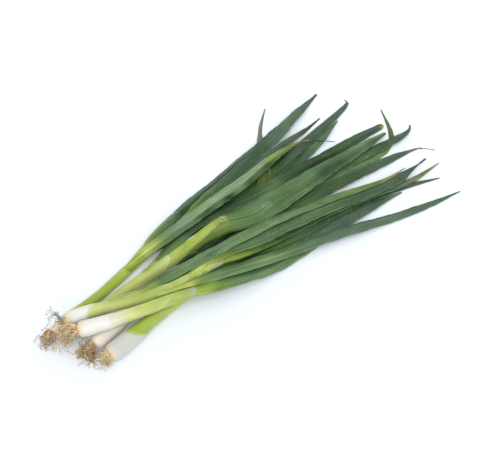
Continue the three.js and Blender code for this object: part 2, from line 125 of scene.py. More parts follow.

# The shanks. Lengths are in millimetres, places are counted from the root plate, and sides are in degrees
# from the left over the top.
# colours: the colour at each place.
# patches: (place, side, half its length, half its angle, colour, strength); the pale_lime ones low on the
# right side are painted light.
# sheaths: steps where an outer sheath stops, in a point on one side, as (place, slant, side that the point
# is on, thickness, how pale the end is).
# foot: a stain at the root plate, as (colour, strength, reach).
# mouth: the open end, as (how far it reaches past the frame's end, how much further its tongue reaches,
# side that the tongue is on, half the tongue's angle, softness of the tongue's sides in degrees).
# carried_on_by: the number of the leaf that grows on out of the mouth.
# seed: what the drawn dents, ribs and waves start from.
SHANKS = {
    "far_onion": {
        "colours": [(0, "pink_white"), (3, "pink_white"), (14, "white"), (24, "soft_lime"),
                    (34, "bright_lime"), (72, "bright_lime"), (84, "lime"), (104, "soft_lime"),
                    (116, "lime"), (124, "lime"), (134, "bright_lime"), (158, "deep_lime")],
        "sheaths": [(84, 3, 100, 0.3, 0.2), (103, 4, 70, 0.4, 0.8), (121, 6, 110, 0.4, 0.8)],
        "foot": ("peach", 0.3, 4), "mouth": (-3, 6, 80, 60, 40), "carried_on_by": 2, "seed": 3,
    },
    "thick_onion": {
        "colours": [(0, "tan"), (4, "white"), (18, "white"), (30, "soft_lime"), (60, "soft_lime"),
                    (96, "soft_lime"), (118, "lime"), (135, "bright_lime"), (150, "lime"), (173, "lime")],
        "patches": [(139, 58, 5, 18, "collar", 0.7), (169, 185, 24, 82, "moss", 0.95),
                    # The pale_lime patch low on the right side is painted light: it brightens the side that
                    # the top onion's shank shades.
                    (95, 195, 55, 45, "pale_lime", 0.8)],
        "sheaths": [(38, 9, 230, 0.3, 0.2), (106, 5, 75, 0.45, 0.9)],
        "foot": ("straw", 0.5, 5), "mouth": (-26, 31, 52, 72, 14), "carried_on_by": 3, "seed": 5,
    },
    "top_onion": {
        "colours": [(0, "straw"), (3, "cream"), (8, "white"), (19, "white"), (24, "pale_lime"),
                    (44, "soft_lime"), (66, "lime"), (92, "lime"), (112, "soft_lime"), (130, "soft_lime"),
                    (148, "pale_lime")],
        # The pale_lime patch low on the right side is painted light that brightens it.
        "patches": [(60, 195, 45, 45, "pale_lime", 0.6)],
        "sheaths": [(22, 4, 30, 0.4, 0), (86, 7, 100, 0.4, 0.5), (110, 6, 40, 0.4, 0.7)],
        "foot": ("straw", 0.5, 3), "mouth": (-2, 3, 60, 60, 40), "carried_on_by": 3, "seed": 7,
    },
    "white_onion": {
        "colours": [(0, "peach"), (2, "cream"), (6, "white"), (33, "white"), (42, "pale_lime"),
                    (60, "soft_lime"), (74, "lime"), (88, "lime"), (97, "soft_lime"), (101, "pale_lime")],
        "sheaths": [(34, 12, 300, 0.25, 0), (72, 8, 80, 0.3, 0.5)],
        "foot": ("peach", 0.6, 3), "mouth": (-4, 8, 100, 60, 40), "carried_on_by": 1, "seed": 11,
    },
    "hidden_onion": {
        "colours": [(0, "pink_white"), (22, "pink_white"), (32, "cream"), (45, "soft_lime"),
                    (80, "lime"), (126, "grass")],
        "sheaths": [(24, 8, 140, 0.35, 0.2), (70, 7, 250, 0.3, 0.3)],
        "foot": ("peach", 0.3, 4), "mouth": (-3, 6, 80, 60, 40), "carried_on_by": 1, "seed": 13,
    },
    "near_onion": {
        "colours": [(0, "peach"), (2, "grey_white"), (25, "grey_white"), (27, "soft_lime"),
                    (30, "bright_lime"), (60, "lime"), (90, "lime"), (116, "grass")],
        "sheaths": [(26, 6, 215, 0.4, 0), (92, 7, 60, 0.35, 0.5)],
        "foot": ("peach", 0.6, 3), "mouth": (-3, 6, 80, 60, 40), "carried_on_by": 1, "seed": 17,
    },
}

# The leaves. Lengths are in millimetres and places are counted from the leaf's base. Places across run
# from -1 at the right edge to 1 at the left one.
# colours: the colour at each place.
# bloom: how thick the wax lies.
# keel: (place across, how sharp it is).
# fold: how deep the hollow beside the keel is, 0.1 unless said.
# right: (place, how much painted shade darkens the right side), or the left side where it is below zero.
# spread: (place, share added to the left half's width, share added to the right half's).
# rim: how strong the pale rims are, a painted highlight along the blade's edges, 0.4 unless said.
# patches: (place, place across, half its length, half its width, colour, strength).
# dry: the place where it is dry and shrivelled from.
# slot: its finish, as the frame names it.
# seed: what its drawn waves start from.
LEAVES = {
    "far_onion_leaf_1": {
        "slot": "dark_leaf", "bloom": 0.16, "keel": (0.1, 0.7), "seed": 101,
        "right": [(0, 0.1), (30, 0.4), (60, 0.6), (120, 0.55), (180, 0.4), (250, 0.3)],
        "colours": [(0, "lime"), (8, "soft_lime"), (20, "yellow_green"), (37, "sage"), (60, "grey_green"),
                    (112, "grey_green"), (125, "slate_green"), (140, "grey_green"), (165, "grey_green"),
                    (185, "dusk_green"), (232, "dusk_green"), (240, "olive_green"), (248, "khaki")],
    },
    "far_onion_leaf_2": {
        "spread": [(0, 0.04, 0.15), (160, 0.04, 0.15)],
        "slot": "green_leaf", "bloom": 0.18, "keel": (0.1, 0.4), "fold": 0.15, "seed": 102,
        "right": [(0, 0), (40, 0.25), (70, 0.15), (90, 0.0), (230, 0.1)],
        "colours": [(0, "bright_lime"), (12, "yellow_green"), (26, "moss"), (40, "leek"), (60, "deep"),
                    (84, "dark"), (116, "dark"), (136, "slate_green"), (162, "grey_green"),
                    (190, "grey_green"), (222, "slate_green"), (229, "grey_tip")],
    },
    "far_onion_leaf_3": {
        "spread": [(0, 0.04, 0.04), (90, 0.15, 0.1), (160, 0.15, 0.15), (190, 0.1, 0.1)],
        "slot": "pale_leaf", "bloom": 0.27, "keel": (-0.3, 0.85), "fold": 0.0, "seed": 103,
        "right": [(0, 0.15), (50, 0.4), (80, 0.65), (165, 0.6), (185, 0.3), (250, 0.2)], "dry": 194,
        "colours": [(0, "bright_lime"), (10, "soft_lime"), (22, "yellow_green"), (34, "sage_green"),
                    (60, "sage"), (84, "pale_sage"), (150, "pale_sage"), (160, "sage"),
                    (168, "yellow_green"), (184, "yellow_green"), (194, "moss"), (202, "olive_tan"),
                    (210, "olive_tan"), (216, "olive_tan"), (226, "dark_stalk"), (249, "dark_stalk")],
        "patches": [(56, 0.2, 12, 0.7, "blue_bloom", 0.6)],
    },
    "far_onion_leaf_4": {
        "slot": "dark_leaf", "bloom": 0.11, "keel": (0.3, 0.3), "seed": 104, "rim": 0.8,
        "right": [(0, 0.0), (110, -0.2), (135, -0.35), (160, -0.35), (180, 0.1), (200, 0.15),
                  (240, 0.0)], "dry": 259,
        "colours": [(0, "grass"), (60, "deep"), (90, "dark_grass"), (120, "dark_grass"), (140, "deep"),
                    (165, "slate_green"), (250, "slate_green"), (256, "slate_green"), (262, "brown"),
                    (268, "grey_tip")],
    },
    "far_onion_leaf_5": {
        "slot": "dark_leaf", "bloom": 0.14, "keel": (0.0, 0.4), "seed": 105,
        "right": [(0, 0.3), (220, 0.3)],
        "colours": [(0, "green"), (112, "slate_green"), (137, "grey_green"), (165, "grey_green"),
                    (187, "dusk_green"), (212, "dark"), (219, "brown")],
    },
    "thick_onion_leaf_1": {
        "spread": [(-20, 0.1, 0.15), (50, 0.05, 0.15), (60, 0.05, 0.3), (130, 0.05, 0.3), (150, 0.04, 0.1)],
        "slot": "dark_leaf", "bloom": 0.08, "keel": (-0.2, 0.35), "fold": 0.0, "seed": 111,
        # Its left side is darkened up to about 140 mm, and its stops hold near-black green at 60 and 188 mm:
        # painted shadow in the dark wedge beside far leaf 3 and under its neighbours, over a leaf that is
        # dark green of its own.
        "right": [(0, -0.2), (26, -0.4), (120, -0.4), (140, -0.1), (165, 0.35), (200, 0.45),
                  (240, 0.3), (290, 0.1)],
        "colours": [(0, "lime"), (5, "moss"), (14, "leek"), (34, "leek"), (46, "dark"), (60, "shadow_green"),
                    (112, "dark"), (132, "green"), (146, "green"), (160, "dark"), (188, "shadow_green"),
                    (212, "dark"), (240, "deep"), (270, "slate_green"), (279, "slate_green"),
                    (283, "olive"), (288, "yellow_olive"), (291, "olive")],
    },
    "thick_onion_leaf_2": {
        "slot": "dark_leaf", "bloom": 0.14, "keel": (0.1, 0.3), "seed": 112,
        "right": [(0, 0.1), (165, 0.0), (190, -0.2), (210, -0.1), (250, 0.1)],
        "colours": [(0, "dark_grass"), (60, "shadow_green"), (110, "deep"), (165, "deep"), (188, "dark"),
                    (208, "dusk_green"), (238, "slate_green"), (248, "grey_tip")],
        "patches": [(214, 0.7, 6, 0.6, "olive", 0.8)],
    },
    "thick_onion_leaf_3": {
        "spread": [(-24, 0.0, 0.1), (0, 0.04, 0.3), (34, 0.04, 0.42), (50, 0.1, 0.3), (75, 0.12, 0.15),
                   (110, 0.1, 0.05)],
        "slot": "green_leaf", "bloom": 0.23, "keel": (0.1, 0.15), "fold": 0.05, "seed": 113, "rim": 0.5,
        "right": [(0, 0.0), (60, 0.15), (110, 0.4), (170, 0.5), (208, 0.3)],
        "colours": [(-24, "moss"), (0, "moss"), (12, "leek"), (90, "leek"), (112, "green"), (140, "green"),
                    (156, "leek"), (180, "sage_green"), (198, "sage_green"), (203, "khaki"),
                    (208, "brown")],
        "patches": [(45, -0.1, 6, 0.35, "blue_bloom", 0.32)],
    },
    "thick_onion_leaf_4": {
        "slot": "olive_leaf", "bloom": 0.045, "keel": (0.2, 0.3), "seed": 114, "rim": 0.6,
        "right": [(0, 0.2), (190, 0.0)],
        "colours": [(0, "grass"), (60, "dark_grass"), (72, "olive_green"), (90, "olive_green"),
                    (104, "grass"), (120, "khaki"), (170, "khaki"), (189, "olive")],
    },
    "thick_onion_leaf_5": {
        "slot": "dark_leaf", "bloom": 0.16, "keel": (0.2, 0.3), "seed": 115,
        "right": [(0, 0.1), (105, 0.0), (112, -0.35), (150, -0.4), (190, -0.1)],
        "colours": [(0, "dark_grass"), (60, "shadow_green"), (104, "dark"), (120, "dark"), (136, "green"),
                    (158, "grey_green"), (190, "grey_green"), (196, "khaki")],
    },
    "top_onion_leaf_1": {
        "spread": [(-30, 0.5, 0.1), (24, 0.4, 0.04), (60, 0.1, 0.04), (80, 0.05, 0.2), (140, 0.05, 0.2),
                   (160, 0.04, 0.04)],
        "slot": "green_leaf", "bloom": 0.2, "keel": (0.2, 0.5), "seed": 121,
        "right": [(0, -0.15), (50, 0.0), (75, 0.25), (100, 0.1), (120, -0.25), (165, -0.4),
                  (190, -0.3), (210, 0.1), (300, 0.1)], "dry": 277,
        "colours": [(0, "soft_lime"), (12, "yellow_green"), (26, "leek"), (44, "sage_green"),
                    (140, "sage_green"), (166, "leek"), (212, "leek"), (230, "moss"),
                    (256, "olive_green"), (276, "yellow_olive"), (290, "dark_stalk"), (299, "brown")],
    },
    "top_onion_leaf_2": {
        "spread": [(0, 0.1, 0.15), (60, 0.15, 0.15), (140, 0.2, 0.05)],
        "slot": "dark_leaf", "bloom": 0.16, "keel": (0.1, 0.4), "seed": 122,
        "right": [(0, 0.0), (120, 0.15), (240, 0.2)], "dry": 246,
        "colours": [(0, "lime"), (12, "yellow_green"), (26, "moss"), (40, "leek"), (60, "green"),
                    (140, "green"), (164, "deep"), (186, "slate_green"), (240, "slate_green"),
                    (250, "dark_stalk"), (267, "grey_tip")],
    },
    "top_onion_leaf_3": {
        "slot": "young_leaf", "bloom": 0.045, "keel": (0.0, 0.3), "seed": 123,
        "right": [(0, 0.0), (26, 0.15), (40, 0.4), (60, 0.0), (180, 0.05), (250, 0.15)],
        "colours": [(0, "deep_lime"), (14, "deep_lime"), (30, "moss"), (44, "moss"), (58, "dark_grass"),
                    (84, "dark"), (116, "deep"), (160, "green"), (187, "grey_green"), (212, "khaki"),
                    (226, "olive_green"), (246, "yellow_olive"), (252, "olive")],
    },
    "top_onion_leaf_4": {
        "slot": "green_leaf", "bloom": 0.18, "keel": (0.3, 0.4), "seed": 124,
        "right": [(0, -0.1), (301, -0.1)],
        "colours": [(0, "lime"), (16, "lime"), (28, "moss"), (44, "leek"), (66, "leek"), (90, "sage_green"),
                    (112, "leek"), (140, "grey_green"), (270, "grey_green"), (292, "slate_green"),
                    (301, "grey_tip")],
    },
    "white_onion_leaf_1": {
        "slot": "green_leaf", "bloom": 0.16, "keel": (0.1, 0.4), "seed": 131,
        "right": [(0, -0.1), (60, -0.1), (240, 0.0)],
        "colours": [(0, "bright_lime"), (10, "deep_lime"), (24, "moss"), (38, "leek"), (62, "sage_green"),
                    (100, "sage_green"), (140, "grey_green"), (162, "slate_green"),
                    (212, "slate_green"), (226, "grey_green"), (240, "khaki")],
    },
    "hidden_onion_leaf_1": {
        "spread": [(0, 0.15, 0.1), (200, 0.15, 0.1)],
        "slot": "green_leaf", "bloom": 0.14, "keel": (0.45, 0.35), "fold": 0.15, "seed": 141,
        "right": [(0, 0.1), (120, 0.3), (160, 0.4), (200, 0.15), (274, 0.1)], "dry": 246,
        "colours": [(0, "grass"), (60, "leek"), (110, "leek"), (137, "green"), (170, "green"),
                    (190, "slate_green"), (236, "grey_green"), (246, "khaki"), (256, "olive"),
                    (264, "brown"), (274, "grey_tip")],
    },
    "hidden_onion_leaf_2": {
        "spread": [(-20, 0.4, 0.1), (60, 0.3, 0.1), (90, 0.1, 0.1), (200, 0.1, 0.1)],
        "slot": "green_leaf", "bloom": 0.14, "keel": (0.2, 0.3), "fold": 0.15, "seed": 142,
        # Its base, up to about 100 mm, is near-black green and darkened on the right: painted shadow where
        # it runs in the dark gap between the thick and the top onion.
        "right": [(0, 0.6), (100, 0.6), (130, 0.2), (310, 0.0)], "dry": 300,
        "colours": [(0, "shadow_green"), (40, "shadow_green"), (96, "shadow_green"), (116, "dark"), (140, "sage_green"),
                    (225, "sage_green"), (236, "moss"), (246, "olive_green"), (256, "deep"),
                    (272, "olive_green"), (300, "dark_stalk"), (310, "grey_tip")],
    },
    "near_onion_leaf_1": {
        "slot": "dark_leaf", "bloom": 0.11, "keel": (0.1, 0.3), "seed": 151,
        "right": [(0, 0.0), (254, 0.1)],
        "colours": [(0, "grass"), (14, "grass"), (36, "shadow_green"), (64, "dark_grass"), (90, "deep"),
                    (140, "dark"), (170, "dark"), (190, "deep"), (215, "slate_green"),
                    (254, "grey_tip")],
    },
}

# The root tufts.
# strands, wisps: how many strands there are, and how many single fine hairs stand off the tuft.
# scatter: how far the strands' ends scatter, in millimetres.
# curl: how curly the strands are.
# reach: how far they reach, as a share of the frame's.
# colours, plate: the two colours that the strands lie between, and the root plate's.
# drift: how far the strands' ends are drawn away, along x, y and z in millimetres.
# seed: what the drawn strands start from.
TUFTS = {
    "far_onion": {
        "strands": 110, "scatter": 1.6, "curl": 0.24, "reach": 1.0, "colours": ("umber", "flax"),
        "plate": "cream", "drift": (-4, -6, 0), "wisps": 3, "seed": 211,
    },
    "thick_onion": {
        "strands": 60, "scatter": 1.4, "curl": 0.2, "reach": 0.9, "colours": ("umber", "flax"),
        "plate": "peach", "drift": (0, 0, 0), "wisps": 3, "seed": 223,
    },
    "top_onion": {
        "strands": 26, "scatter": 1.2, "curl": 0.3, "reach": 0.6, "colours": ("honey", "peach"),
        "plate": "peach", "drift": (0, 0, 0), "wisps": 13, "seed": 237,
    },
    "white_onion": {
        "strands": 110, "scatter": 2.0, "curl": 0.2, "reach": 1.05, "colours": ("honey", "flax"),
        "plate": "peach", "drift": (-7, -4, 0), "wisps": 2, "seed": 241,
    },
    "hidden_onion": {
        "strands": 220, "scatter": 2.8, "curl": 0.38, "reach": 0.88, "colours": ("umber", "flax"),
        "plate": "honey", "drift": (-2, -5, 0), "wisps": 2, "seed": 253,
    },
    "near_onion": {
        "strands": 110, "scatter": 1.8, "curl": 0.24, "reach": 0.95, "colours": ("honey", "flax"),
        "plate": "peach", "drift": (0, 0, 0), "wisps": 2, "seed": 267,
    },
}


# Sizes and colours that a user can change.

class BunchLeafSettings(bpy.types.PropertyGroup):
    """Sizes and finish of the leaf blades."""

    around: IntProperty(name="Points around", description="Points round a leaf's section", default=56,
                        min=16, max=160)
    spacing: FloatProperty(name="Row spacing", description="Length of leaf between two rows of points",
                           default=1.2 * MM, min=0.3 * MM, max=5 * MM, unit="LENGTH")
    ripple: FloatProperty(name="Ripple", description="Height of the soft dents all over a blade",
                          default=0.16 * MM, min=0, max=1 * MM, unit="LENGTH")
    rib: FloatProperty(name="Ribs", description="Height of the lengthwise ribs", default=0.035 * MM, min=0,
                       max=0.3 * MM, unit="LENGTH")
    ribs: IntProperty(name="Rib count", description="Ribs round a blade", default=19, min=0, max=40)
    bloom: FloatVectorProperty(name="Bloom", description="Colour of the thin wax on the blades",
                               default=tint(138, 164, 146), subtype="COLOR", min=0, max=1)
    roughness: FloatProperty(name="Roughness", description="Roughness of a blade with no bloom on it",
                             default=0.42, min=0, max=1)


class BunchStemSettings(bpy.types.PropertyGroup):
    """Sizes and finish of the bulbs and shanks."""

    around: IntProperty(name="Points around", description="Points round a stem's section", default=96,
                        min=16, max=160)
    spacing: FloatProperty(name="Row spacing", description="Length of stem between two rows of points",
                           default=0.7 * MM, min=0.2 * MM, max=5 * MM, unit="LENGTH")
    ripple: FloatProperty(name="Ripple", description="Height of the soft dents in the sheaths",
                          default=0.10 * MM, min=0, max=1 * MM, unit="LENGTH")
    rib: FloatProperty(name="Ribs", description="Height of the lengthwise ribs", default=0.03 * MM, min=0,
                       max=0.3 * MM, unit="LENGTH")
    ribs: IntProperty(name="Rib count", description="Ribs round a stem", default=21, min=0, max=40)
    pale_end: FloatProperty(name="Pale end", description="Length of the paler, thinner end of a sheath",
                            default=9 * MM, min=0, max=40 * MM, unit="LENGTH")
    lip: FloatProperty(name="Lip", description="Thickness of the sheath at the stem's open end",
                       default=0.5 * MM, min=0.1 * MM, max=2 * MM, unit="LENGTH")
    roughness: FloatProperty(name="Roughness", description="Roughness of the moist skin", default=0.34,
                             min=0, max=1)


class BunchRootSettings(bpy.types.PropertyGroup):
    """Sizes of the root strands."""

    rows: IntProperty(name="Rows", description="Points along a strand", default=16, min=4, max=40)
    sides: IntProperty(name="Sides", description="Points round a strand", default=5, min=3, max=12)
    base: FloatProperty(name="Base radius", description="Radius of a strand where it leaves the plate",
                        default=0.42 * MM, min=0.05 * MM, max=2 * MM, unit="LENGTH")
    tip: FloatProperty(name="Tip radius", description="Radius of a strand at its tip", default=0.2 * MM,
                       min=0.02 * MM, max=1 * MM, unit="LENGTH")
    wisp: FloatProperty(name="Wisp radius", description="Radius of the single fine hairs",
                        default=0.24 * MM, min=0.02 * MM, max=1 * MM, unit="LENGTH")


class BunchStageSettings(bpy.types.PropertyGroup):
    """Floor, light and camera."""

    floor_size: FloatProperty(name="Floor size", description="Side of the square floor", default=16,
                              min=1, max=100, unit="LENGTH")
    floor_colour: FloatVectorProperty(name="Floor colour", description="Colour of the floor",
                                      default=(0.775, 0.815, 0.88), subtype="COLOR", min=0, max=1)
    floor_glow: FloatProperty(name="Floor glow", description="Light that the lit table gives off itself",
                              default=0.06, min=0, max=2)
    sky_colour: FloatVectorProperty(name="Sky colour", description="Colour of the even light all round",
                                    default=(0.94, 0.97, 1.0), subtype="COLOR", min=0, max=1)
    sky: FloatProperty(name="Sky", description="Strength of the even light all round", default=0.9, min=0,
                       max=10)
    sun: FloatProperty(name="Key light", description="Strength of the key light", default=1.55, min=0,
                       max=20)
    key_colour: FloatVectorProperty(name="Key colour", description="Colour of the key light",
                                    default=(1.0, 0.985, 0.95), subtype="COLOR", min=0, max=1)
    key_width: FloatProperty(name="Key width", description="Angle that the key light spans",
                             default=math.radians(55), subtype="ANGLE")
    backdrop: FloatVectorProperty(name="Backdrop", description="Colour of the empty sky as it is seen",
                                  default=(0.985, 0.985, 0.99), subtype="COLOR", min=0, max=1)
    lens: FloatProperty(name="Lens", description="Focal length in millimetres", default=70, min=10, max=300)
    elevation: FloatProperty(name="Elevation", description="Angle of the camera above the table",
                             default=math.radians(50), subtype="ANGLE")
    azimuth: FloatProperty(name="Azimuth", description="Turn of the camera round the bunch",
                           default=math.radians(-33), subtype="ANGLE")
    distance: FloatProperty(name="Distance", description="Distance from the camera to what it looks at",
                            default=0.856, min=0.1, max=10, unit="LENGTH")


# Reading the frame. A course is an array with one row for each station along a piece, from its root end
# on: x, y, z, half the width and half the thickness, all in metres.

COURSE_STEP = 1.5 * MM  # between two stations
COURSE_PASSES = 5  # how often a course is mended
COURSE_EVENING = 3.5 * MM  # length over which the way is evened out
RUN_ON = 6  # stations added past both ends before each pass
SECTION_REACH = 16 * MM  # no section is wider than twice this
EDGE_SHARES = (np.arange(8) + 0.5) / 8  # spots along an edge that stand for it in a mean


WELD = 0.02 * MM  # corners of a node that are nearer than this are one


def welded(node):
    """A node's corners, each one once, and its edges as pairs of them."""
    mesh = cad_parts[node].data
    corners = np.empty(len(mesh.vertices) * 3)
    mesh.vertices.foreach_get("co", corners)
    corners = corners.reshape(-1, 3)
    mesh.calc_loop_triangles()
    triangles = np.empty(len(mesh.loop_triangles) * 3, int)
    mesh.loop_triangles.foreach_get("vertices", triangles)
    cells = np.round(corners / WELD).astype(np.int64)
    _, first, same = np.unique(cells, axis=0, return_index=True, return_inverse=True)
    triangles = same.reshape(-1)[triangles].reshape(-1, 3)
    pairs = np.concatenate([triangles[:, [0, 1]], triangles[:, [1, 2]], triangles[:, [2, 0]]])
    return corners[first], np.unique(np.sort(pairs, axis=1), axis=0)


def walked(corners, edges, start):
    """The shortest way over the edges from one corner to each other, by sweeps until nothing changes."""
    lengths = np.linalg.norm(corners[edges[:, 0]] - corners[edges[:, 1]], axis=1)
    far = np.full(len(corners), np.inf)
    far[start] = 0
    while True:
        nearer = far.copy()
        np.minimum.at(nearer, edges[:, 1], far[edges[:, 0]] + lengths)
        np.minimum.at(nearer, edges[:, 0], far[edges[:, 1]] + lengths)
        if np.array_equal(nearer, far):
            return far
        far = nearer


def lengths_along(points):
    """The length from the first point to each one."""
    return np.r_[0, np.cumsum(np.linalg.norm(np.diff(points[:, :3], axis=0), axis=1))]


def resampled(rows, places=None):
    """The rows read at even steps of length, or at the given places along them."""
    along = lengths_along(rows)
    if places is None:
        places = np.linspace(0, along[-1], max(int(along[-1] / COURSE_STEP), 4) + 1)
    return np.stack([np.interp(places, along, column) for column in rows.T], axis=1)


def evened(rows, along, width):
    """Each row as the mean of the rows round it, weighted by a bell curve of that width."""
    weights = np.exp(-0.5 * ((along[:, None] - along[None]) / width) ** 2)
    return weights @ rows / weights.sum(1, keepdims=True)


def run_on(points, count):
    """The points with a straight run of even steps added before the first and after the last."""
    steps = np.arange(1, count + 1)[:, None]
    before = points[0] + (points[0] - points[2]) / 2 * steps[::-1]
    after = points[-1] + (points[-1] - points[-3]) / 2 * steps
    return np.concatenate([before, points, after])


def directions(points):
    """Ahead, sideways and upwards at each point: sideways is level and to the left."""
    ahead = np.gradient(points[:, :3], axis=0)
    ahead /= np.linalg.norm(ahead, axis=1, keepdims=True)
    side = np.stack([-ahead[:, 1], ahead[:, 0], np.zeros(len(ahead))], axis=1)
    side /= np.linalg.norm(side, axis=1, keepdims=True)
    return ahead, side, np.cross(ahead, side)


def cut_across(line, corners, edges):
    """Where a plane square to the line meets the skin, at each point of the line: the section's middle and
    its half-sizes, for the points where there is one."""
    ahead, side, up = directions(line)
    a, b = corners[edges[:, 0]], corners[edges[:, 1]]
    over_a = a @ ahead.T - np.sum(line * ahead, axis=1)
    over_b = b @ ahead.T - np.sum(line * ahead, axis=1)
    hit = over_a * over_b < 0
    share = np.where(hit, over_a / np.where(hit, over_a - over_b, 1), 0)
    met = a[:, None] + share[..., None] * (b - a)[:, None] - line[None]
    across = np.einsum("esk,sk->es", met, side)
    above = np.einsum("esk,sk->es", met, up)
    hit &= np.hypot(across, above) < SECTION_REACH
    left, right = np.where(hit, across, np.inf).min(0), np.where(hit, across, -np.inf).max(0)
    low, high = np.where(hit, above, np.inf).min(0), np.where(hit, above, -np.inf).max(0)
    there = hit.sum(0) >= 5
    left, right, low, high = left[there], right[there], low[there], high[there]
    to_side, to_top = (left + right)[:, None] / 2, (low + high)[:, None] / 2
    middle = line[there] + side[there] * to_side + up[there] * to_top
    return middle, (right - left) / 2, (high - low) / 2


def read_course(node, root_end, sides):
    """A piece's course, from its node. The way from tip to root over its skin gives a first line, as the
    mean place of the skin at each distance from the tip. Then sections square to the line mend it."""
    corners, edges = welded(node)
    base = np.argmin(np.linalg.norm(corners - np.array(root_end), axis=1))
    from_tip = walked(corners, edges, np.argmax(walked(corners, edges, base)))
    a, b = edges.T
    spots = corners[a][:, None] + EDGE_SHARES[None, :, None] * (corners[b] - corners[a])[:, None]
    spots = spots.reshape(-1, 3)
    far = (from_tip[a][:, None] + EDGE_SHARES * (from_tip[b] - from_tip[a])[:, None]).reshape(-1)
    weight = np.repeat(np.linalg.norm(corners[a] - corners[b], axis=1), len(EDGE_SHARES))
    stops = np.arange(from_tip.max(), 0, -COURSE_EVENING)
    bells = np.exp(-0.5 * ((stops[:, None] - far[None]) / COURSE_EVENING) ** 2) * weight
    line = bells @ spots / bells.sum(1, keepdims=True)
    for _ in range(COURSE_PASSES):
        line = run_on(resampled(line), RUN_ON)
        line = evened(line, lengths_along(line), COURSE_EVENING)
        line, wide, thick = cut_across(line, corners, edges)
    round_share = math.cos(math.pi / sides)
    return np.column_stack([line, wide / round_share, thick / round_share])


def smoothstep(low, high, value):
    """0 below low, 1 above high, and a soft S between them."""
    share = np.clip((value - low) / (high - low), 0, 1)
    return share * share * (3 - 2 * share)


def bridge(start, start_ahead, end, end_ahead, count):
    """A smooth way between two points: the cubic that leaves and arrives in the given directions, with a
    pull as long as the gap."""
    pull = np.linalg.norm(end - start)
    u = np.linspace(0, 1, count)[:, None]
    return ((2 * u**3 - 3 * u**2 + 1) * start + (u**3 - 2 * u**2 + u) * start_ahead * pull
            + (3 * u**2 - 2 * u**3) * end + (u**3 - u**2) * end_ahead * pull)


# Random waves.

# Each kind of wave: its shortest and its longest length along the piece in millimetres, the most turns that
# it makes round it, and how many waves are summed. The ribs' turns are the user's.
WAVES = {
    "mouth_edge": (9, 20, 9, 12),
    "sheath_edge": (10, 20, 9, 12),
    "stem_dents": (14, 70, 2, 10),
    "stem_ribs": (60, 400, None, 16),
    "stem_streaks": (40, 260, 15, 18),
    "stem_clouds": (12, 50, 2, 10),
    "stain_edge": (4, 30, 7, 10),
    "patch_edge": (4, 30, 4, 10),
    "leaf_width": (18, 70, 0, 10),
    "keel_wander": (50, 200, 0, 6),
    "fold_depth": (30, 120, 0, 6),
    "leaf_dents": (9, 60, 3, 14),
    "leaf_ribs": (80, 500, None, 18),
    "leaf_wave": (25, 90, 0, 6),
    "dry_twist": (9, 30, 0, 5),
    "colour_wander": (15, 90, 2, 10),
    "leaf_streaks": (60, 300, 17, 18),
    "leaf_clouds": (15, 90, 2, 10),
    "shade_strength": (20, 90, 0, 6),
    "rim_highlight_strength": (10, 60, 0, 8),
    "plate_knobs": (2, 8, 9, 16),
    "plate_tone": (2, 6, 9, 10),
}


def drawn_waves(kind, draw, along, around, turns=None):
    """Noise of about -1 to 1 over a piece's skin: a sum of sines, each with a drawn length along the piece,
    a drawn whole number of turns round it and a drawn phase."""
    shortest, longest, most_turns, count = WAVES[kind]
    shortest, longest = shortest * MM, longest * MM
    turns = most_turns if turns is None else turns
    lengths = shortest * (longest / shortest) ** draw.random(count)
    orders = draw.integers(-turns, turns + 1, count)
    phases = draw.random(count) * TURN
    waves = np.sin(along[..., None] * (TURN / lengths) + around[..., None] * orders + phases)
    return waves.sum(-1) / math.sqrt(count)


def swayed(kind, draw, along):
    """The same noise along a piece only, even all the way round it."""
    return drawn_waves(kind, draw, along, 0 * along)


def stops_to_colours(stops, places):
    """Colours at the places, evenly mixed between the named stops on either side."""
    at = [place for place, _ in stops]
    colours = np.array([PALETTE[name] for _, name in stops])
    return np.stack([np.interp(places, at, colours[:, k]) for k in range(3)], axis=-1)


def mixed(first, second, share):
    """The first colours, turned towards the second by the share."""
    return first + (np.asarray(second) - first) * np.asarray(share)[..., None]


# Meshes.

TABLE_GAP = 0.02 * MM  # height of the lowest points over the table


def tube_faces(rows, columns, first=0):
    """Faces of a closed tube of rings, looking outwards: four corners between two rings, and a fan at each
    end round a pole. The corners are numbered ring by ring, then the two poles."""
    i, j = np.meshgrid(np.arange(rows - 1), np.arange(columns), indexing="ij")
    k = (j + 1) % columns
    walls = np.stack([i * columns + j, i * columns + k, (i + 1) * columns + k, (i + 1) * columns + j], -1)
    j = np.arange(columns)
    k = (j + 1) % columns
    near = np.stack([np.full(columns, rows * columns), k, j], -1)
    last = (rows - 1) * columns
    far = np.stack([np.full(columns, rows * columns + 1), last + j, last + k], -1)
    return walls.reshape(-1, 4) + first, np.concatenate([near, far]) + first


def tube_uvs(along, columns):
    """UV corners for tube_faces: u once round, v in metres along the piece."""
    rows = len(along)
    i, j = np.meshgrid(np.arange(rows - 1), np.arange(columns), indexing="ij")
    u0, u1 = j / columns, (j + 1) / columns
    v0, v1 = along[i], along[i + 1]
    walls = np.stack([np.stack([u0, v0], -1), np.stack([u1, v0], -1), np.stack([u1, v1], -1),
                      np.stack([u0, v1], -1)], axis=2).reshape(-1, 2)
    j = np.arange(columns)
    u0, u1, middle = j / columns, (j + 1) / columns, (j + 0.5) / columns
    near = np.stack([np.stack([middle, 0 * u0 + along[0]], -1), np.stack([u1, 0 * u0 + along[0]], -1),
                     np.stack([u0, 0 * u0 + along[0]], -1)], axis=1).reshape(-1, 2)
    far = np.stack([np.stack([middle, 0 * u0 + along[-1]], -1), np.stack([u0, 0 * u0 + along[-1]], -1),
                    np.stack([u1, 0 * u0 + along[-1]], -1)], axis=1).reshape(-1, 2)
    return walls, np.concatenate([near, far])


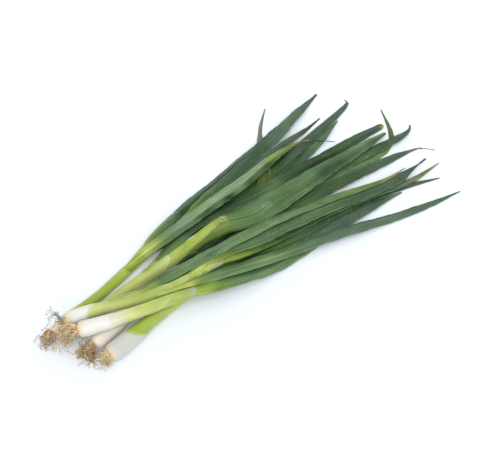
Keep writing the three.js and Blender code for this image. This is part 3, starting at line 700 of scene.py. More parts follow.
def closed_tube(rings, along, skin, grain, finish):
    """A tube as points, faces, UVs and its values at each point, from rings of shape rows, columns, 3. The
    poles are the middles of the first and the last ring."""
    rows, columns = rings.shape[:2]

    def with_poles(values):
        poles = np.stack([values[0].mean(0), values[-1].mean(0)])
        return np.concatenate([values.reshape(-1, values.shape[-1]), poles])

    walls, fans = tube_faces(rows, columns)
    wall_uvs, fan_uvs = tube_uvs(along, columns)
    return {"points": with_poles(rings), "quads": walls, "triangles": fans, "quad_uvs": wall_uvs,
            "triangle_uvs": fan_uvs, "skin": with_poles(skin), "grain": with_poles(grain),
            "finish": with_poles(finish)}


def joined(parts):
    """Several skins as one."""
    starts = np.cumsum([0] + [len(part["points"]) for part in parts[:-1]])
    whole = {key: np.concatenate([part[key] for part in parts])
             for key in ("points", "quad_uvs", "triangle_uvs", "skin", "grain", "finish")}
    for key in ("quads", "triangles"):
        whole[key] = np.concatenate([part[key] + start for part, start in zip(parts, starts)])
    return whole


def make_object(name, skin, material, slot, *nodes):
    """Puts a skin into a mesh object at the origin that rides on the bunch and stands for the nodes."""
    mesh = bpy.data.meshes.new(name)
    mesh.from_pydata(skin["points"].tolist(), [], skin["quads"].tolist() + skin["triangles"].tolist())
    uvs = mesh.uv_layers.new(name="skin_uv")
    uvs.data.foreach_set("uv", np.concatenate([skin["quad_uvs"], skin["triangle_uvs"]]).ravel())
    colours = mesh.attributes.new("skin", "FLOAT_COLOR", "POINT")
    opaque = np.column_stack([skin["skin"], np.ones(len(skin["skin"]))])
    colours.data.foreach_set("color", opaque.astype(np.float32).ravel())
    for key in ("grain", "finish"):
        values = mesh.attributes.new(key, "FLOAT_VECTOR", "POINT")
        values.data.foreach_set("vector", skin[key].astype(np.float32).ravel())
    mesh.polygons.foreach_set("use_smooth", np.ones(len(mesh.polygons), bool))
    mesh.materials.append(material)
    mesh.update()
    piece = bpy.data.objects.new(name, mesh)
    bpy.context.scene.collection.objects.link(piece)
    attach(piece, BODY)
    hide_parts(*nodes)
    return piece


def kept_above(rings):
    """Lifts the points that would lie under the table."""
    rings[..., 2] = np.maximum(rings[..., 2], TABLE_GAP)


def rings_round(course, across, above):
    """Points round a course: each station's middle, plus sideways and upwards by the given amounts."""
    _, side, up = directions(course)
    return (course[:, None, :3] + side[:, None] * across[..., None] + up[:, None] * above[..., None])


def read_at(course, places):
    """A course read at any array of places along it: middles, sideways, upwards, and the half-sizes."""
    _, side, up = directions(course)
    along = lengths_along(course)
    columns = np.concatenate([course, side, up], axis=1).T
    values = np.stack([np.interp(places, along, column) for column in columns], axis=-1)
    return values[..., :3], values[..., 5:8], values[..., 8:11], values[..., 3], values[..., 4]


# Plants.

BASE_TRIM = 10 * MM  # the first stretch of a leaf's frame course, where its own stem cuts into it
ROOTING = 48 * MM  # length of a leaf inside its stem, as the sheath that it grows from
EASING = 32 * MM  # length over which a stem's end bends into the leaf that carries it on


@functools.cache
def read_plant(plant):
    """A plant's courses. The stem's runs from the root plate and, past its open end, along the leaf that
    carries it on, so that both share one way; its own length comes with it. Each leaf's course starts
    inside the stem, and comes with the place along it where the frame's leaf starts."""
    lowest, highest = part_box(f"{plant}_roots")
    stem = read_course(f"{plant}_stem", (lowest + highest) / 2, STEM_SIDES)
    length = lengths_along(stem)[-1]
    kept = kept_course(f"{plant}_leaf_{SHANKS[plant]['carried_on_by']}", stem)
    common, _ = led_into(stem, np.searchsorted(lengths_along(stem), length - EASING), kept, 0)
    common[:, :3] = evened(common[:, :3], lengths_along(common), 3 * MM)
    leaves = {}
    for leaf in LEAVES:
        if not leaf.startswith(plant):
            continue
        if leaf.endswith(str(SHANKS[plant]["carried_on_by"])):
            along = lengths_along(common)
            inner = np.searchsorted(along, length - ROOTING)
            course = common[inner:].copy()
            course[:, 3:] -= SHEATH * smoothstep(20 * MM, 0, along[inner:] - length)[:, None]
            leaves[leaf] = (course, length - along[inner])
            continue
        kept = kept_course(leaf, stem)
        nearest = np.argmin(np.linalg.norm(common[:, :3] - kept[0, :3], axis=1))
        place = lengths_along(common)[nearest] - ROOTING / 2 - BASE_TRIM
        start = np.searchsorted(lengths_along(common), max(place, 20 * MM))
        course, reached = led_into(common, start, kept, SHEATH)
        leaves[leaf] = (course[start:], reached - lengths_along(common)[start] - BASE_TRIM)
    return common, length, leaves


def kept_course(leaf, stem):
    """The leaf's course from its frame node, from its base on, without the stretch that its stem cuts."""
    middle = np.array(sum(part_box(leaf), Vector())) / 2
    nearest = np.argmin(np.linalg.norm(stem[:, :3] - middle, axis=1))
    course = read_course(leaf, stem[nearest, :3], LEAF_SIDES)
    return course[np.searchsorted(lengths_along(course), BASE_TRIM):]


def led_into(stem, start, kept, gap):
    """The stem's course up to a station, bent over into the leaf's, with the half-sizes changing evenly
    from the stem's less a gap to the leaf's. Also the place where the leaf's own course begins."""
    stem_ahead = directions(stem)[0][start]
    count = int(np.linalg.norm(kept[0, :3] - stem[start, :3]) / COURSE_STEP) + 2
    way = bridge(stem[start, :3], stem_ahead, kept[0, :3], directions(kept)[0][0], count)
    share = smoothstep(0.25, 1, np.linspace(0, 1, count))[:, None]
    sizes = stem[start, 3:] - gap + (kept[0, 3:] - stem[start, 3:] + gap) * share
    led = np.concatenate([stem[:start], np.column_stack([way, sizes])[:-1]])
    reached = lengths_along(np.concatenate([led, kept[:1]]))[-1]
    return np.concatenate([led, kept]), reached


# Stems.

SHEATH = 0.9 * MM  # how far a leaf lies inside the sheath that it comes out of
FOOT = 9 * MM  # first stretch of a stem, over which its dents and ribs begin
MOUTH_RUN = 45 * MM  # last stretch, whose rows lean over more and more to the mouth's line
EDGE_BLUR = 0.7  # half the length over which the skin drops at a sheath's end, in row spacings
RISING = 60 * MM  # length before a sheath's end over which the skin rises to its step
LEANING = 9 * MM  # how far from a sheath's end the colours still follow its slant

# The rows inside the mouth: how far on from its rim, in millimetres, and how many lips' thickness inwards.
MOUTH_ROWS = ((0.1, 0.4), (0, 1), (-3, 1.1), (-8, 1.2), (-12, 1.3))
# The rows that close the root end: their share of the radius, and how far behind it, in millimetres.
PLATE_ROWS = ((0.15, 2.2), (0.55, 1.9), (0.85, 1.1))


def rows_along(length, spacing, end_length, end_rows):
    """Places along a piece: even ones, and closer ones over its last stretch."""
    even = np.arange(0, length - end_length, spacing)
    return np.concatenate([even, np.linspace(length - end_length, length, end_rows)])


def mouth_line(draw, around, mouth):
    """How far the stem's open end reaches past its frame length, round it: a base, and a blunt tongue on
    one side, with a ragged edge."""
    base, tongue, facing, half_angle, softness = mouth
    off = np.abs(wrapped(around - math.radians(facing)))
    on_tongue = smoothstep(math.radians(half_angle + softness), math.radians(half_angle - softness), off)
    ragged = drawn_waves("mouth_edge", draw, 0 * around, around) * 0.15
    return (base + tongue * on_tongue + ragged) * MM


def sheath_ends(look, settings, draw, s, phi, swell):
    """The stem's swelling with its sheaths' added, how pale they make it, and the places that its colours
    are read at. Each sheath ends on a slanting, ragged line round the stem, where the skin drops by the
    sheath's thickness, and its last stretch is thin and pale. Near the line the places follow its slant."""
    paleness = np.zeros_like(s)
    shifted = s.copy()
    blur = settings.spacing * EDGE_BLUR
    for place, slant, facing, thickness, pale in look["sheaths"]:
        lean = phi - math.radians(facing)
        ragged = drawn_waves("sheath_edge", draw, 0 * s, phi) * 0.3
        offset = (slant * (np.cos(lean) + 0.25 * np.cos(2 * lean)) + ragged) * MM
        before_edge = place * MM + offset - s
        left_over = smoothstep(-blur, blur, before_edge)
        rise = 0.4 + 0.6 * smoothstep(RISING, 0, before_edge)
        swell = swell + thickness * MM * (left_over * rise - 0.5)
        shifted -= offset * np.exp(-((before_edge / LEANING) ** 2))
        fading = np.exp(-np.maximum(before_edge, 0) / settings.pale_end * 1.8)
        paleness = np.maximum(paleness, pale * fading * left_over)
    return swell, paleness, shifted


def stem_paint(look, draw, s, phi, shifted, paleness):
    """The stem's colours: its stops, read at the shifted places, then the patches, among them painted light
    on some lower sides, the pale sheath ends, lengthwise streaks and soft clouds, and the stain at the root
    plate."""
    colours = stops_to_colours([(place * MM, name) for place, name in look["colours"]], shifted)
    for place, facing, half_length, half_angle, name, strength in look.get("patches", ()):
        mask = patch_mask(draw, s, phi, (s / MM - place) / half_length,
                          wrapped(phi - math.radians(facing)) / math.radians(half_angle))
        colours = mixed(colours, PALETTE[name], strength * mask)
    skin = mixed(colours, PALETTE["collar"], 0.8 * paleness)
    streaks = drawn_waves("stem_streaks", draw, s, phi)
    clouds = drawn_waves("stem_clouds", draw, s, phi)
    skin = skin * (1 + (0.05 * streaks + 0.035 * clouds) * smoothstep(10 * MM, 40 * MM, s))[..., None]
    name, strength, reach = look["foot"]
    stain = smoothstep(reach * MM, 0, s + 0.25 * reach * MM * drawn_waves("stain_edge", draw, s, phi))
    return mixed(skin, PALETTE[name], strength * stain)


def stem_skin(plant, settings):
    """The stem's skin. Its half-sizes are the frame's, plus soft dents, fine ribs and the sheaths. The far
    end is an open mouth: the last rows slant to its line, then the skin turns in by the lip's thickness
    and runs back inside. The near end closes on the root plate."""
    look = SHANKS[plant]
    course, length, _ = read_plant(plant)
    draw = np.random.default_rng(look["seed"])
    along = rows_along(length, settings.spacing, 2 * MM, 4)
    around = np.arange(settings.around) / settings.around * TURN
    rows, phi = np.meshgrid(along, around, indexing="ij")
    s = rows + mouth_line(draw, around, look["mouth"]) * smoothstep(length - MOUTH_RUN, length, rows)
    near_root = smoothstep(0, FOOT, s)
    swell = settings.ripple * drawn_waves("stem_dents", draw, s, phi) * near_root
    ribs = drawn_waves("stem_ribs", draw, s, phi, settings.ribs)
    swell += settings.rib * ribs * near_root
    swell, paleness, shifted = sheath_ends(look, settings, draw, s, phi, swell)
    skin = stem_paint(look, draw, s, phi, shifted, paleness)

    on, inwards = np.array(MOUTH_ROWS).T[..., None]
    inner = s[-1] + on * MM
    places = np.concatenate([s, inner])
    swell = np.concatenate([swell, swell[-1] - settings.lip * inwards])
    middle, side, up, wide, thick = read_at(course, places)
    phi = np.concatenate([phi, np.repeat(phi[:1], len(inner), axis=0)])
    rings = (middle + side * ((wide + swell) * np.cos(phi))[..., None]
             + up * ((thick + swell) * np.sin(phi))[..., None])
    skin = np.concatenate([skin, np.repeat(skin[-1:], len(inner), axis=0)])
    along = np.concatenate([along, length + np.arange(1, len(inner) + 1) * 0.4 * MM])

    back = directions(course)[0][0]
    plate = [course[0, :3] + (rings[0] - course[0, :3]) * share - back * drop * MM
             for share, drop in PLATE_ROWS]
    rings = np.concatenate([np.stack(plate), rings])
    skin = np.concatenate([np.repeat(skin[:1], len(plate), axis=0), skin])
    along = np.concatenate([[-3 * MM, -2 * MM, -1 * MM], along])
    kept_above(rings)
    finish = np.zeros((len(along), settings.around, 3))
    return closed_tube(rings, along, np.clip(skin, 0, 1), grain_of(along, settings.around), finish)


def wrapped(angle):
    """An angle brought to between minus and plus half a turn."""
    return (angle + math.pi) % TURN - math.pi


def patch_mask(draw, s, phi, lengthwise, across):
    """1 within a patch and 0 outside it, with a soft, wavy edge. Both offsets are in patch half-sizes."""
    off = np.sqrt(lengthwise**2 + across**2) + 0.12 * drawn_waves("patch_edge", draw, s, phi)
    return smoothstep(1.15, 0.75, off)


def grain_of(along, columns, shift=0):
    """The place on a skin that its fine pattern reads: once round as a circle, and metres along. The shift
    moves the circle, so that each piece has a pattern of its own."""
    around = np.arange(columns) / columns * TURN
    s, phi = np.meshgrid(along, around, indexing="ij")
    return np.stack([np.cos(phi) + shift, np.sin(phi), s], axis=-1)


# Leaves.

TIP = 3 * MM  # last stretch of a leaf, with closer rows
TIP_ROWS = 9
TIP_ROUND = 1.2 * MM  # length over which the tip rounds off
KEEL_GROWS = 30 * MM  # length from the base over which the keel comes in
FOLD_GROWS = 25 * MM  # and the fold
DENTS_GROW = (5 * MM, 40 * MM)  # places between which the dents and ribs come in
UNDERSIDE = 0.4  # how much of the keel shows below
NO_DRY_END = 1000  # a place past every tip, in millimetres


def section_height(across_share, phi, ridge, sharp):
    """Half the section's height, as a share of its greatest: between an oval's and that of a roof with its
    ridge at that place across."""
    roof = 1 - np.abs(across_share - ridge) / (1 - ridge * np.sign(across_share - ridge))
    return (1 - sharp) * np.abs(np.sin(phi)) + sharp * roof


def sections_of(look, settings, draw, along, place, flat):
    """The sections' form in each row: the places along and round, the keel's place across, and the height
    as a share of half the thickness, below zero underneath. The height lies between an oval's and a
    roof's. The roof's ridge is the keel, which wanders a little from side to side, and a row of points
    follows it. A broad hollow lies beside it."""
    keel, sharpness = look["keel"]
    wander = swayed("keel_wander", draw, along)
    ridge = np.clip(keel + 0.12 * wander, -0.75, 0.75)[:, None]
    turns = np.arange(settings.around) / settings.around * TURN
    s, theta = np.meshgrid(place, turns, indexing="ij")
    side_of = np.sign(np.sin(theta))
    phi = theta - np.arcsin(ridge) * np.sin(theta) ** 2 * side_of
    sharp = sharpness * smoothstep(0, KEEL_GROWS, s) * np.where(side_of > 0, 1, UNDERSIDE)
    height = section_height(np.cos(phi), phi, ridge, sharp)
    depth = look.get("fold", 0.1) * flat * (1 + 0.5 * swayed("fold_depth", draw, along))
    depth = (np.clip(depth, 0, 0.6) * smoothstep(0, FOLD_GROWS, place))[:, None]
    hollow_at = ridge - 0.45 * np.sign(keel + 0.01)
    hollow = np.exp(-(((np.cos(phi) - hollow_at) / 0.3) ** 2))
    height *= 1 - depth * hollow * np.where(side_of > 0, 1, 0.35)
    return s, phi, ridge, height * side_of


def dented(settings, draw, along, s, phi, wide, across, above):
    """The sections with soft dents and fine ribs laid over them, and their two sides waving up and down."""
    size = np.minimum(1, wide / (3 * MM))[:, None]
    bumps = settings.ripple * drawn_waves("leaf_dents", draw, s, phi)
    ribs = settings.rib * drawn_waves("leaf_ribs", draw, s, phi, settings.ribs)
    swell = (bumps + ribs) * size * smoothstep(*DENTS_GROW, s)
    wave = 0.04 * wide * swayed("leaf_wave", draw, along)
    return across + swell * np.cos(phi), above + swell * np.sin(phi) + wave[:, None] * np.cos(phi)


def wrung(draw, along, s, phi, across, above, dryness):
    """A section with its sides fallen in, and turned to and fro along the leaf, the more the drier it is."""
    turn = dryness * swayed("dry_twist", draw, along) * 0.8
    shrivel = 1 - 0.3 * dryness[:, None] * (0.5 + 0.5 * np.cos(3 * phi + 40 * s / (10 * MM)))
    across, above = across * shrivel, above * shrivel
    cos, sin = np.cos(turn)[:, None], np.sin(turn)[:, None]
    return across * cos - above * sin, across * sin + above * cos


def leaf_skin(leaf, settings):
    """The leaf's skin: keeled sections with the frame's half-sizes, a little wider or narrower by waves,
    with the spread added to either side and the tip rounded off. Dents and ribs are laid over them, and
    where the leaf is dry, its thin end is wrung."""
    look = LEAVES[leaf]
    draw = np.random.default_rng(look["seed"])
    course, start = read_plant(leaf.split("_leaf_")[0])[2][leaf]
    length = lengths_along(course)[-1]
    along = rows_along(length, settings.spacing, TIP, TIP_ROWS)
    stations = resampled(course, along)
    stations[:, :3] = evened(stations[:, :3], along, 1.2 * MM)
    place = along - start
    wide, thick = stations[:, 3].copy(), stations[:, 4].copy()
    wide *= 1 + 0.02 * swayed("leaf_width", draw, along)
    flat = np.clip(1 - thick / wide, 0, 1)
    to_tip = length - along
    rounding = np.sqrt(np.clip(1 - (1 - to_tip / TIP_ROUND) ** 2, 0.02, 1))
    rounding = np.where(to_tip < TIP_ROUND, rounding, 1)
    wide, thick = wide * rounding, thick * rounding

    s, phi, ridge, height = sections_of(look, settings, draw, along, place, flat)
    spread = np.array(look.get("spread", [(0, 0.04, 0.04)]))
    left, right = (np.interp(place, spread[:, 0] * MM, spread[:, k])[:, None] for k in (1, 2))
    not_tip = smoothstep(3 * MM, 30 * MM, to_tip)[:, None]
    across = wide[:, None] * np.cos(phi) * (1 + np.where(np.cos(phi) > 0, left, right) * not_tip)
    above = thick[:, None] * height
    across, above = dented(settings, draw, along, s, phi, wide, across, above)
    dry = smoothstep(-3 * MM, 6 * MM, place - look.get("dry", NO_DRY_END) * MM)
    thin = 1 - smoothstep(0.8 * MM, 2.2 * MM, wide)
    across, above = wrung(draw, along, s, phi, across, above, dry * thin)

    colours, wax = leaf_paint(look, draw, place, s, phi, ridge, flat)
    rings = rings_round(stations, across, above)
    kept_above(rings)
    finish = np.stack([wax * (1 - dry[:, None]), dry[:, None] + 0 * s, 0 * s], axis=-1)
    grain = grain_of(along, settings.around, look["seed"] * 0.37)
    return closed_tube(rings, along, np.clip(colours, 0, 1), grain, finish)


# Painted shade: the share of its darkening that red, green and blue take.
SHADE = np.array([1.2, 1.08, 1.25])  # how much of the darkening red, green and blue take


def leaf_paint(look, draw, place, s, phi, ridge, flat):
    """The leaf's colours, and how thick its bloom of wax is. The colours run between the named stops, with
    lengthwise streaks. The side right of the keel is darkened by painted shade, or the left one where the
    share is below zero, and has less bloom. Then come pale rims, a painted highlight along the edges, and
    the patches."""
    wander = 2.5 * MM * drawn_waves("colour_wander", draw, s, phi) * smoothstep(0, 20 * MM, s)
    stops = [(at * MM, name) for at, name in look["colours"]]
    colours = stops_to_colours(stops, s + wander)
    streaks = drawn_waves("leaf_streaks", draw, s, phi)
    clouds = drawn_waves("leaf_clouds", draw, s, phi)
    colours = colours * (1 + 0.11 * streaks + 0.09 * clouds)[..., None]

    across_share = np.cos(phi)
    # Painted shade on the side right of the keel, or on the left side where the share is below zero.
    painted_shade_amount = np.interp(place, [at * MM for at, _ in look["right"]], [share for _, share in look["right"]])
    painted_shade_amount = painted_shade_amount[:, None] * (1 + 0.2 * swayed("shade_strength", draw, s))
    blur = 0.3 * (1 - look["keel"][1])
    right = smoothstep(0.05 + blur, -0.1 - blur, across_share - ridge)
    darker = np.where(painted_shade_amount > 0, painted_shade_amount * right, -painted_shade_amount * (1 - right))
    colours = colours * (1 - darker[..., None] * SHADE)

    # Pale rims: a painted highlight along both edges of the blade, not on its underside.
    from_edge = np.arccos(np.clip(np.abs(across_share), 0, 1))
    rim = look.get("rim", 0.4) * smoothstep(0.6, 0.25, from_edge) * flat[:, None]
    rim = rim * smoothstep(20 * MM, 50 * MM, s) * (np.sin(phi) > -0.3)
    rim *= np.clip(0.7 + 0.5 * swayed("rim_highlight_strength", draw, s), 0, 1)
    colours = mixed(colours, PALETTE["rim"], rim)
    # The bloom is thinner under the painted shade.
    wax = look["bloom"] * smoothstep(12 * MM, 45 * MM, s) * (1 - 1.2 * darker) + 0 * s
    for at, across, half_length, half_width, name, strength in look.get("patches", ()):
        mask = strength * patch_mask(draw, s, phi, (s / MM - at) / half_length,
                                     (across_share - across) / half_width) * (np.sin(phi) > -0.2)
        colours = mixed(colours, PALETTE[name], mask)
    return colours, np.clip(wax, 0, 1)


# Roots.

TUFT_WIDTH = 0.85  # radius that the strands start within, as a share of the bulb's end
TUFT_DEPTH = 1.2 * MM  # how far behind the bulb's end they start
UV_REACH = 20 * MM  # length of every strand in its UV map and its grain
TIP_SHADE = 0.25  # how much darker a strand is at its tip
AWRY = np.array([0.31, 0.17, 0.93])  # a direction that no strand runs in for long


def strand_skin(paths, radii, colours, sides):
    """Thin tubes round many paths at once. paths has the shape strands, rows, 3, and radii strands, rows.
    Each ring lies square to its path, on two directions that are square to it and to each other."""
    count, rows = paths.shape[:2]
    ahead = np.gradient(paths, axis=1)
    ahead /= np.linalg.norm(ahead, axis=2, keepdims=True) + 1e-12
    side = np.cross(ahead, AWRY)
    side /= np.linalg.norm(side, axis=2, keepdims=True) + 1e-12
    up = np.cross(ahead, side)
    phi = np.arange(sides) / sides * TURN
    ring = (side[:, :, None] * np.cos(phi)[:, None] + up[:, :, None] * np.sin(phi)[:, None])
    rings = paths[:, :, None] + ring * radii[:, :, None, None]
    kept_above(rings)
    walls, fans = tube_faces(rows, sides)
    poles = np.stack([rings[:, 0].mean(1), rings[:, -1].mean(1)], axis=1)
    points = np.concatenate([rings.reshape(count, -1, 3), poles], axis=1)
    per_strand = points.shape[1]
    starts = (np.arange(count) * per_strand)[:, None, None]
    reach = np.linspace(0, 1, rows) * UV_REACH
    wall_uvs, fan_uvs = tube_uvs(reach, sides)
    ends = np.concatenate([np.repeat(reach, sides), reach[[0, -1]]])
    grain = np.zeros((count, per_strand, 3))
    grain[..., 0] = np.arange(count)[:, None]
    grain[..., 2] = ends
    skin = np.repeat(colours[:, None], per_strand, axis=1)
    darker = 1 - TIP_SHADE * (ends / ends.max())[None, :, None] * np.ones_like(skin)
    return {"points": points.reshape(-1, 3), "quads": (walls[None] + starts).reshape(-1, 4),
            "triangles": (fans[None] + starts).reshape(-1, 3), "quad_uvs": np.tile(wall_uvs, (count, 1)),
            "triangle_uvs": np.tile(fan_uvs, (count, 1)), "skin": (skin * darker).reshape(-1, 3),
            "grain": grain.reshape(-1, 3), "finish": 0 * grain.reshape(-1, 3)}


def curled(draw, start, handle, end, curl, rows):
    """Paths from start to end past a handle, as parabolas, with drawn curls laid over them that grow from
    nothing at the start. The curls are sines of two to five half turns along the strand."""
    count = len(start)
    t = np.linspace(0, 1, rows)[None, :, None]
    path = (1 - t) ** 2 * start[:, None] + 2 * t * (1 - t) * handle[:, None] + t**2 * end[:, None]
    reach = np.linalg.norm(end - start, axis=1)[:, None, None]
    for order in (2, 3, 5):
        aim = draw.normal(size=(count, 1, 3))
        phase = draw.random((count, 1, 1)) * TURN
        path = path + aim * reach * curl / order * (np.sin(math.pi * order * t + phase) - np.sin(phase)) * t
    return path


def wisp_skin(look, settings, draw, plate, ahead, side, up, radius):
    """Single fine hairs that leave the plate's rim sideways or upwards, never down into the table."""
    hairs = look["wisps"]
    angle = draw.random(hairs) * TURN
    out_way = side * np.cos(angle)[:, None] + up * np.abs(np.sin(angle))[:, None]
    start = plate + out_way * radius * 0.9 - ahead * 1 * MM
    end = start + (out_way * (3 + 8 * draw.random((hairs, 1)))
                   - ahead * (2 + 16 * draw.random((hairs, 1)))) * MM
    handle = start + (out_way * 5 - ahead * 2) * MM
    paths = curled(draw, start, handle, end, 0.38, settings.rows * 2)
    radii = np.full((hairs, settings.rows * 2), settings.wisp)
    paths[..., 2] = np.maximum(paths[..., 2], settings.wisp)
    grey = np.array(PALETTE["hair"]) * (0.8 + 0.5 * draw.random((hairs, 1)))
    return strand_skin(paths, radii, grey, 4)


def tuft_skin(plant, settings):
    """The tuft of roots: strands from the root plate to the places that the frame's own strands reach, a
    knobbly plate between them and the bulb, and wisps."""
    look = TUFTS[plant]
    draw = np.random.default_rng(look["seed"])
    corners, _ = welded(f"{plant}_roots")
    stem = read_plant(plant)[0]
    plate = stem[0, :3]
    ahead, side, up = (direction[0] for direction in directions(stem))
    radius = stem[0, 3] * TUFT_WIDTH
    from_plate = corners - plate
    reached = corners[np.linalg.norm(from_plate, axis=1) > stem[0, 3] + 3 * MM]
    count = look["strands"]
    angle = draw.random(count) * TURN
    out = np.sqrt(draw.random(count)) * radius * 1.12
    start = (plate - ahead * TUFT_DEPTH + side * (out * np.cos(angle))[:, None]
             + up * (out * np.sin(angle))[:, None])
    target = reached[draw.integers(0, len(reached), count)]
    length = (0.45 + 0.55 * draw.random(count)) * look["reach"]
    end = start + (target - start) * length[:, None] + draw.normal(size=(count, 3)) * look["scatter"] * MM
    end += np.array(look["drift"]) * MM * draw.random((count, 1))
    gap = np.linalg.norm(end - start, axis=1)[:, None]
    fan = (start - plate) / radius * 0.5
    handle = start + (-ahead + fan) * gap * 0.5
    paths = curled(draw, start, handle, end, look["curl"], settings.rows)
    thickness = 0.7 + 0.6 * draw.random((count, 1))
    radii = thickness * np.linspace(settings.base, settings.tip, settings.rows)[None]
    first, second = (np.array(PALETTE[name]) for name in look["colours"])
    tone = smoothstep(0.25, 0.6, draw.random((count, 1)))
    colours = np.clip((first + (second - first) * tone) * (0.75 + 0.4 * draw.random((count, 1))), 0, 1)
    paths[..., 2] = np.maximum(paths[..., 2], radii)
    strands = strand_skin(paths, radii, colours, settings.sides)
    wisps = wisp_skin(look, settings, draw, plate, ahead, side, up, radius)
    return joined([plate_skin(draw, plate, ahead, side, up, stem[0, 3], PALETTE[look["plate"]]),
                   strands, wisps])


def plate_skin(draw, plate, ahead, side, up, radius, colour):
    """The root plate: a low dome behind the bulb, roughened by drawn waves."""
    columns, rows = 28, 9
    s, phi = np.meshgrid(np.linspace(0, 1, rows), np.arange(columns) / columns * TURN, indexing="ij")
    bend = s * math.pi / 2
    rough = 1 + 0.18 * drawn_waves("plate_knobs", draw, s * 8 * MM, phi) * np.sin(bend * 2)
    across = radius * 0.93 * np.cos(bend) * rough
    depth = radius * 0.55 * np.sin(bend) * rough - 0.5 * MM
    rings = (plate - ahead * depth[..., None] + side * (across * np.cos(phi))[..., None]
             + up * (across * np.sin(phi))[..., None])[::-1]
    kept_above(rings)
    tone = 0.8 + 0.2 * drawn_waves("plate_tone", draw, s * 8 * MM, phi)
    skin = np.array(colour) * tone[::-1][..., None]
    along = np.linspace(0, 8 * MM, rows)
    return closed_tube(rings, along, np.clip(skin, 0, 1), grain_of(along, columns), 0 * rings)


# Materials. A group puts out only what changes over the skin.

def new_group(name, inputs, outputs):
    """An empty shader node group with the named inputs, as (name, kind, value), and outputs."""
    group = bpy.data.node_groups.new(name, "ShaderNodeTree")
    for label, kind, value in inputs:
        socket = group.interface.new_socket(label, in_out="INPUT", socket_type=kind)
        socket.default_value = value
    for label, kind in outputs:
        group.interface.new_socket(label, in_out="OUTPUT", socket_type=kind)
    return group, group.nodes.new("NodeGroupInput"), group.nodes.new("NodeGroupOutput")


def put(tree, socket, value):
    """Links a value to a socket, or sets it there where it is a plain number or colour."""
    if isinstance(value, bpy.types.NodeSocket):
        tree.links.new(value, socket)
    elif value is not None:
        socket.default_value = value


def math_node(tree, operation, first, second=None, third=None):
    """A Math node with its inputs linked or set, and its result."""
    node = tree.nodes.new("ShaderNodeMath")
    node.operation = operation
    for socket, value in zip(node.inputs, (first, second, third)):
        put(tree, socket, value)
    return node.outputs[0]


def mix_colours(tree, share, first, second, blend="MIX"):
    """A Mix node for colours, with its inputs linked or set, and its result."""
    node = tree.nodes.new("ShaderNodeMix")
    node.data_type = "RGBA"
    node.blend_type = blend
    node.clamp_factor = True
    for k, value in ((0, share), (6, first), (7, second)):
        put(tree, node.inputs[k], (*value, 1) if isinstance(value, tuple) else value)
    return node.outputs[2]


def ramp(tree, value, low, high):
    """A smooth Map Range from 0 at low to 1 at high."""
    node = tree.nodes.new("ShaderNodeMapRange")
    node.interpolation_type = "SMOOTHSTEP"
    tree.links.new(value, node.inputs["Value"])
    node.inputs["From Min"].default_value = low
    node.inputs["From Max"].default_value = high
    return node.outputs["Result"]


def shaded(tree, colour, value, low, high, dark, light):
    """The colour times a shade that runs smoothly from dark, where the value is low, to light."""
    shade = mix_colours(tree, ramp(tree, value, low, high), dark, light)
    return mix_colours(tree, 1.0, colour, shade, "MULTIPLY")


def place_on(tree):
    """The place in the piece's own space."""
    return tree.nodes.new("ShaderNodeTexCoord").outputs["Object"]


def split_up(tree, vector):
    """The three numbers of a vector."""
    node = tree.nodes.new("ShaderNodeSeparateXYZ")
    tree.links.new(vector, node.inputs[0])
    return node.outputs


def stretched(tree, source, around, along):
    """The grain attribute scaled round the piece and along it, by linked or set numbers."""
    split = split_up(tree, source)
    merge = tree.nodes.new("ShaderNodeCombineXYZ")
    for k, scale in enumerate((around, around, along)):
        tree.links.new(math_node(tree, "MULTIPLY", split[k], scale), merge.inputs[k])
    return merge.outputs[0]


def noise(tree, vector, scale, detail=3.0, roughness=0.5):
    """A Noise Texture's value."""
    node = tree.nodes.new("ShaderNodeTexNoise")
    tree.links.new(vector, node.inputs["Vector"])
    node.inputs["Scale"].default_value = scale
    node.inputs["Detail"].default_value = detail
    node.inputs["Roughness"].default_value = roughness
    return node.outputs["Fac"]


def attribute(tree, name, output):
    """One of the piece's own attributes."""
    node = tree.nodes.new("ShaderNodeAttribute")
    node.attribute_name = name
    return node.outputs[output]


def veins_group():
    """Fine lengthwise veins: noise that is short round the piece and very long along it. Around is the
    number of noise cells in the section's radius, and Along is cells in a metre."""
    group, given, result = new_group(
        "lengthwise_veins", [("Around", "NodeSocketFloat", 9.0), ("Along", "NodeSocketFloat", 12.0)],
        [("Veins", "NodeSocketFloat"), ("Fine", "NodeSocketFloat")])
    grain = attribute(group, "grain", "Vector")
    place = stretched(group, grain, given.outputs["Around"], given.outputs["Along"])
    group.links.new(noise(group, place, 1.0, 2.0), result.inputs["Veins"])
    group.links.new(noise(group, place, 3.1, 3.0, 0.6), result.inputs["Fine"])
    return group


def bloom_group():
    """The waxy bloom: where it lies thick, from broad patches, lengthwise rubs and a fine powder."""
    group, given, result = new_group(
        "waxy_bloom", [("Amount", "NodeSocketFloat", 0.5)], [("Mask", "NodeSocketFloat")])
    grain = attribute(group, "grain", "Vector")
    broad = noise(group, stretched(group, grain, 0.9, 22.0), 1.0, 3.0)
    rubs = noise(group, stretched(group, grain, 5.0, 30.0), 1.0, 4.0, 0.65)
    powder = noise(group, place_on(group), 1500.0, 2.0)
    thick = math_node(group, "ADD", math_node(group, "MULTIPLY", broad, 0.45),
                      math_node(group, "MULTIPLY", rubs, 0.35))
    thick = math_node(group, "ADD", thick, math_node(group, "MULTIPLY", powder, 0.20))
    mask = math_node(group, "MULTIPLY", ramp(group, thick, 0.36, 0.64), given.outputs["Amount"])
    group.links.new(mask, result.inputs["Mask"])
    return group


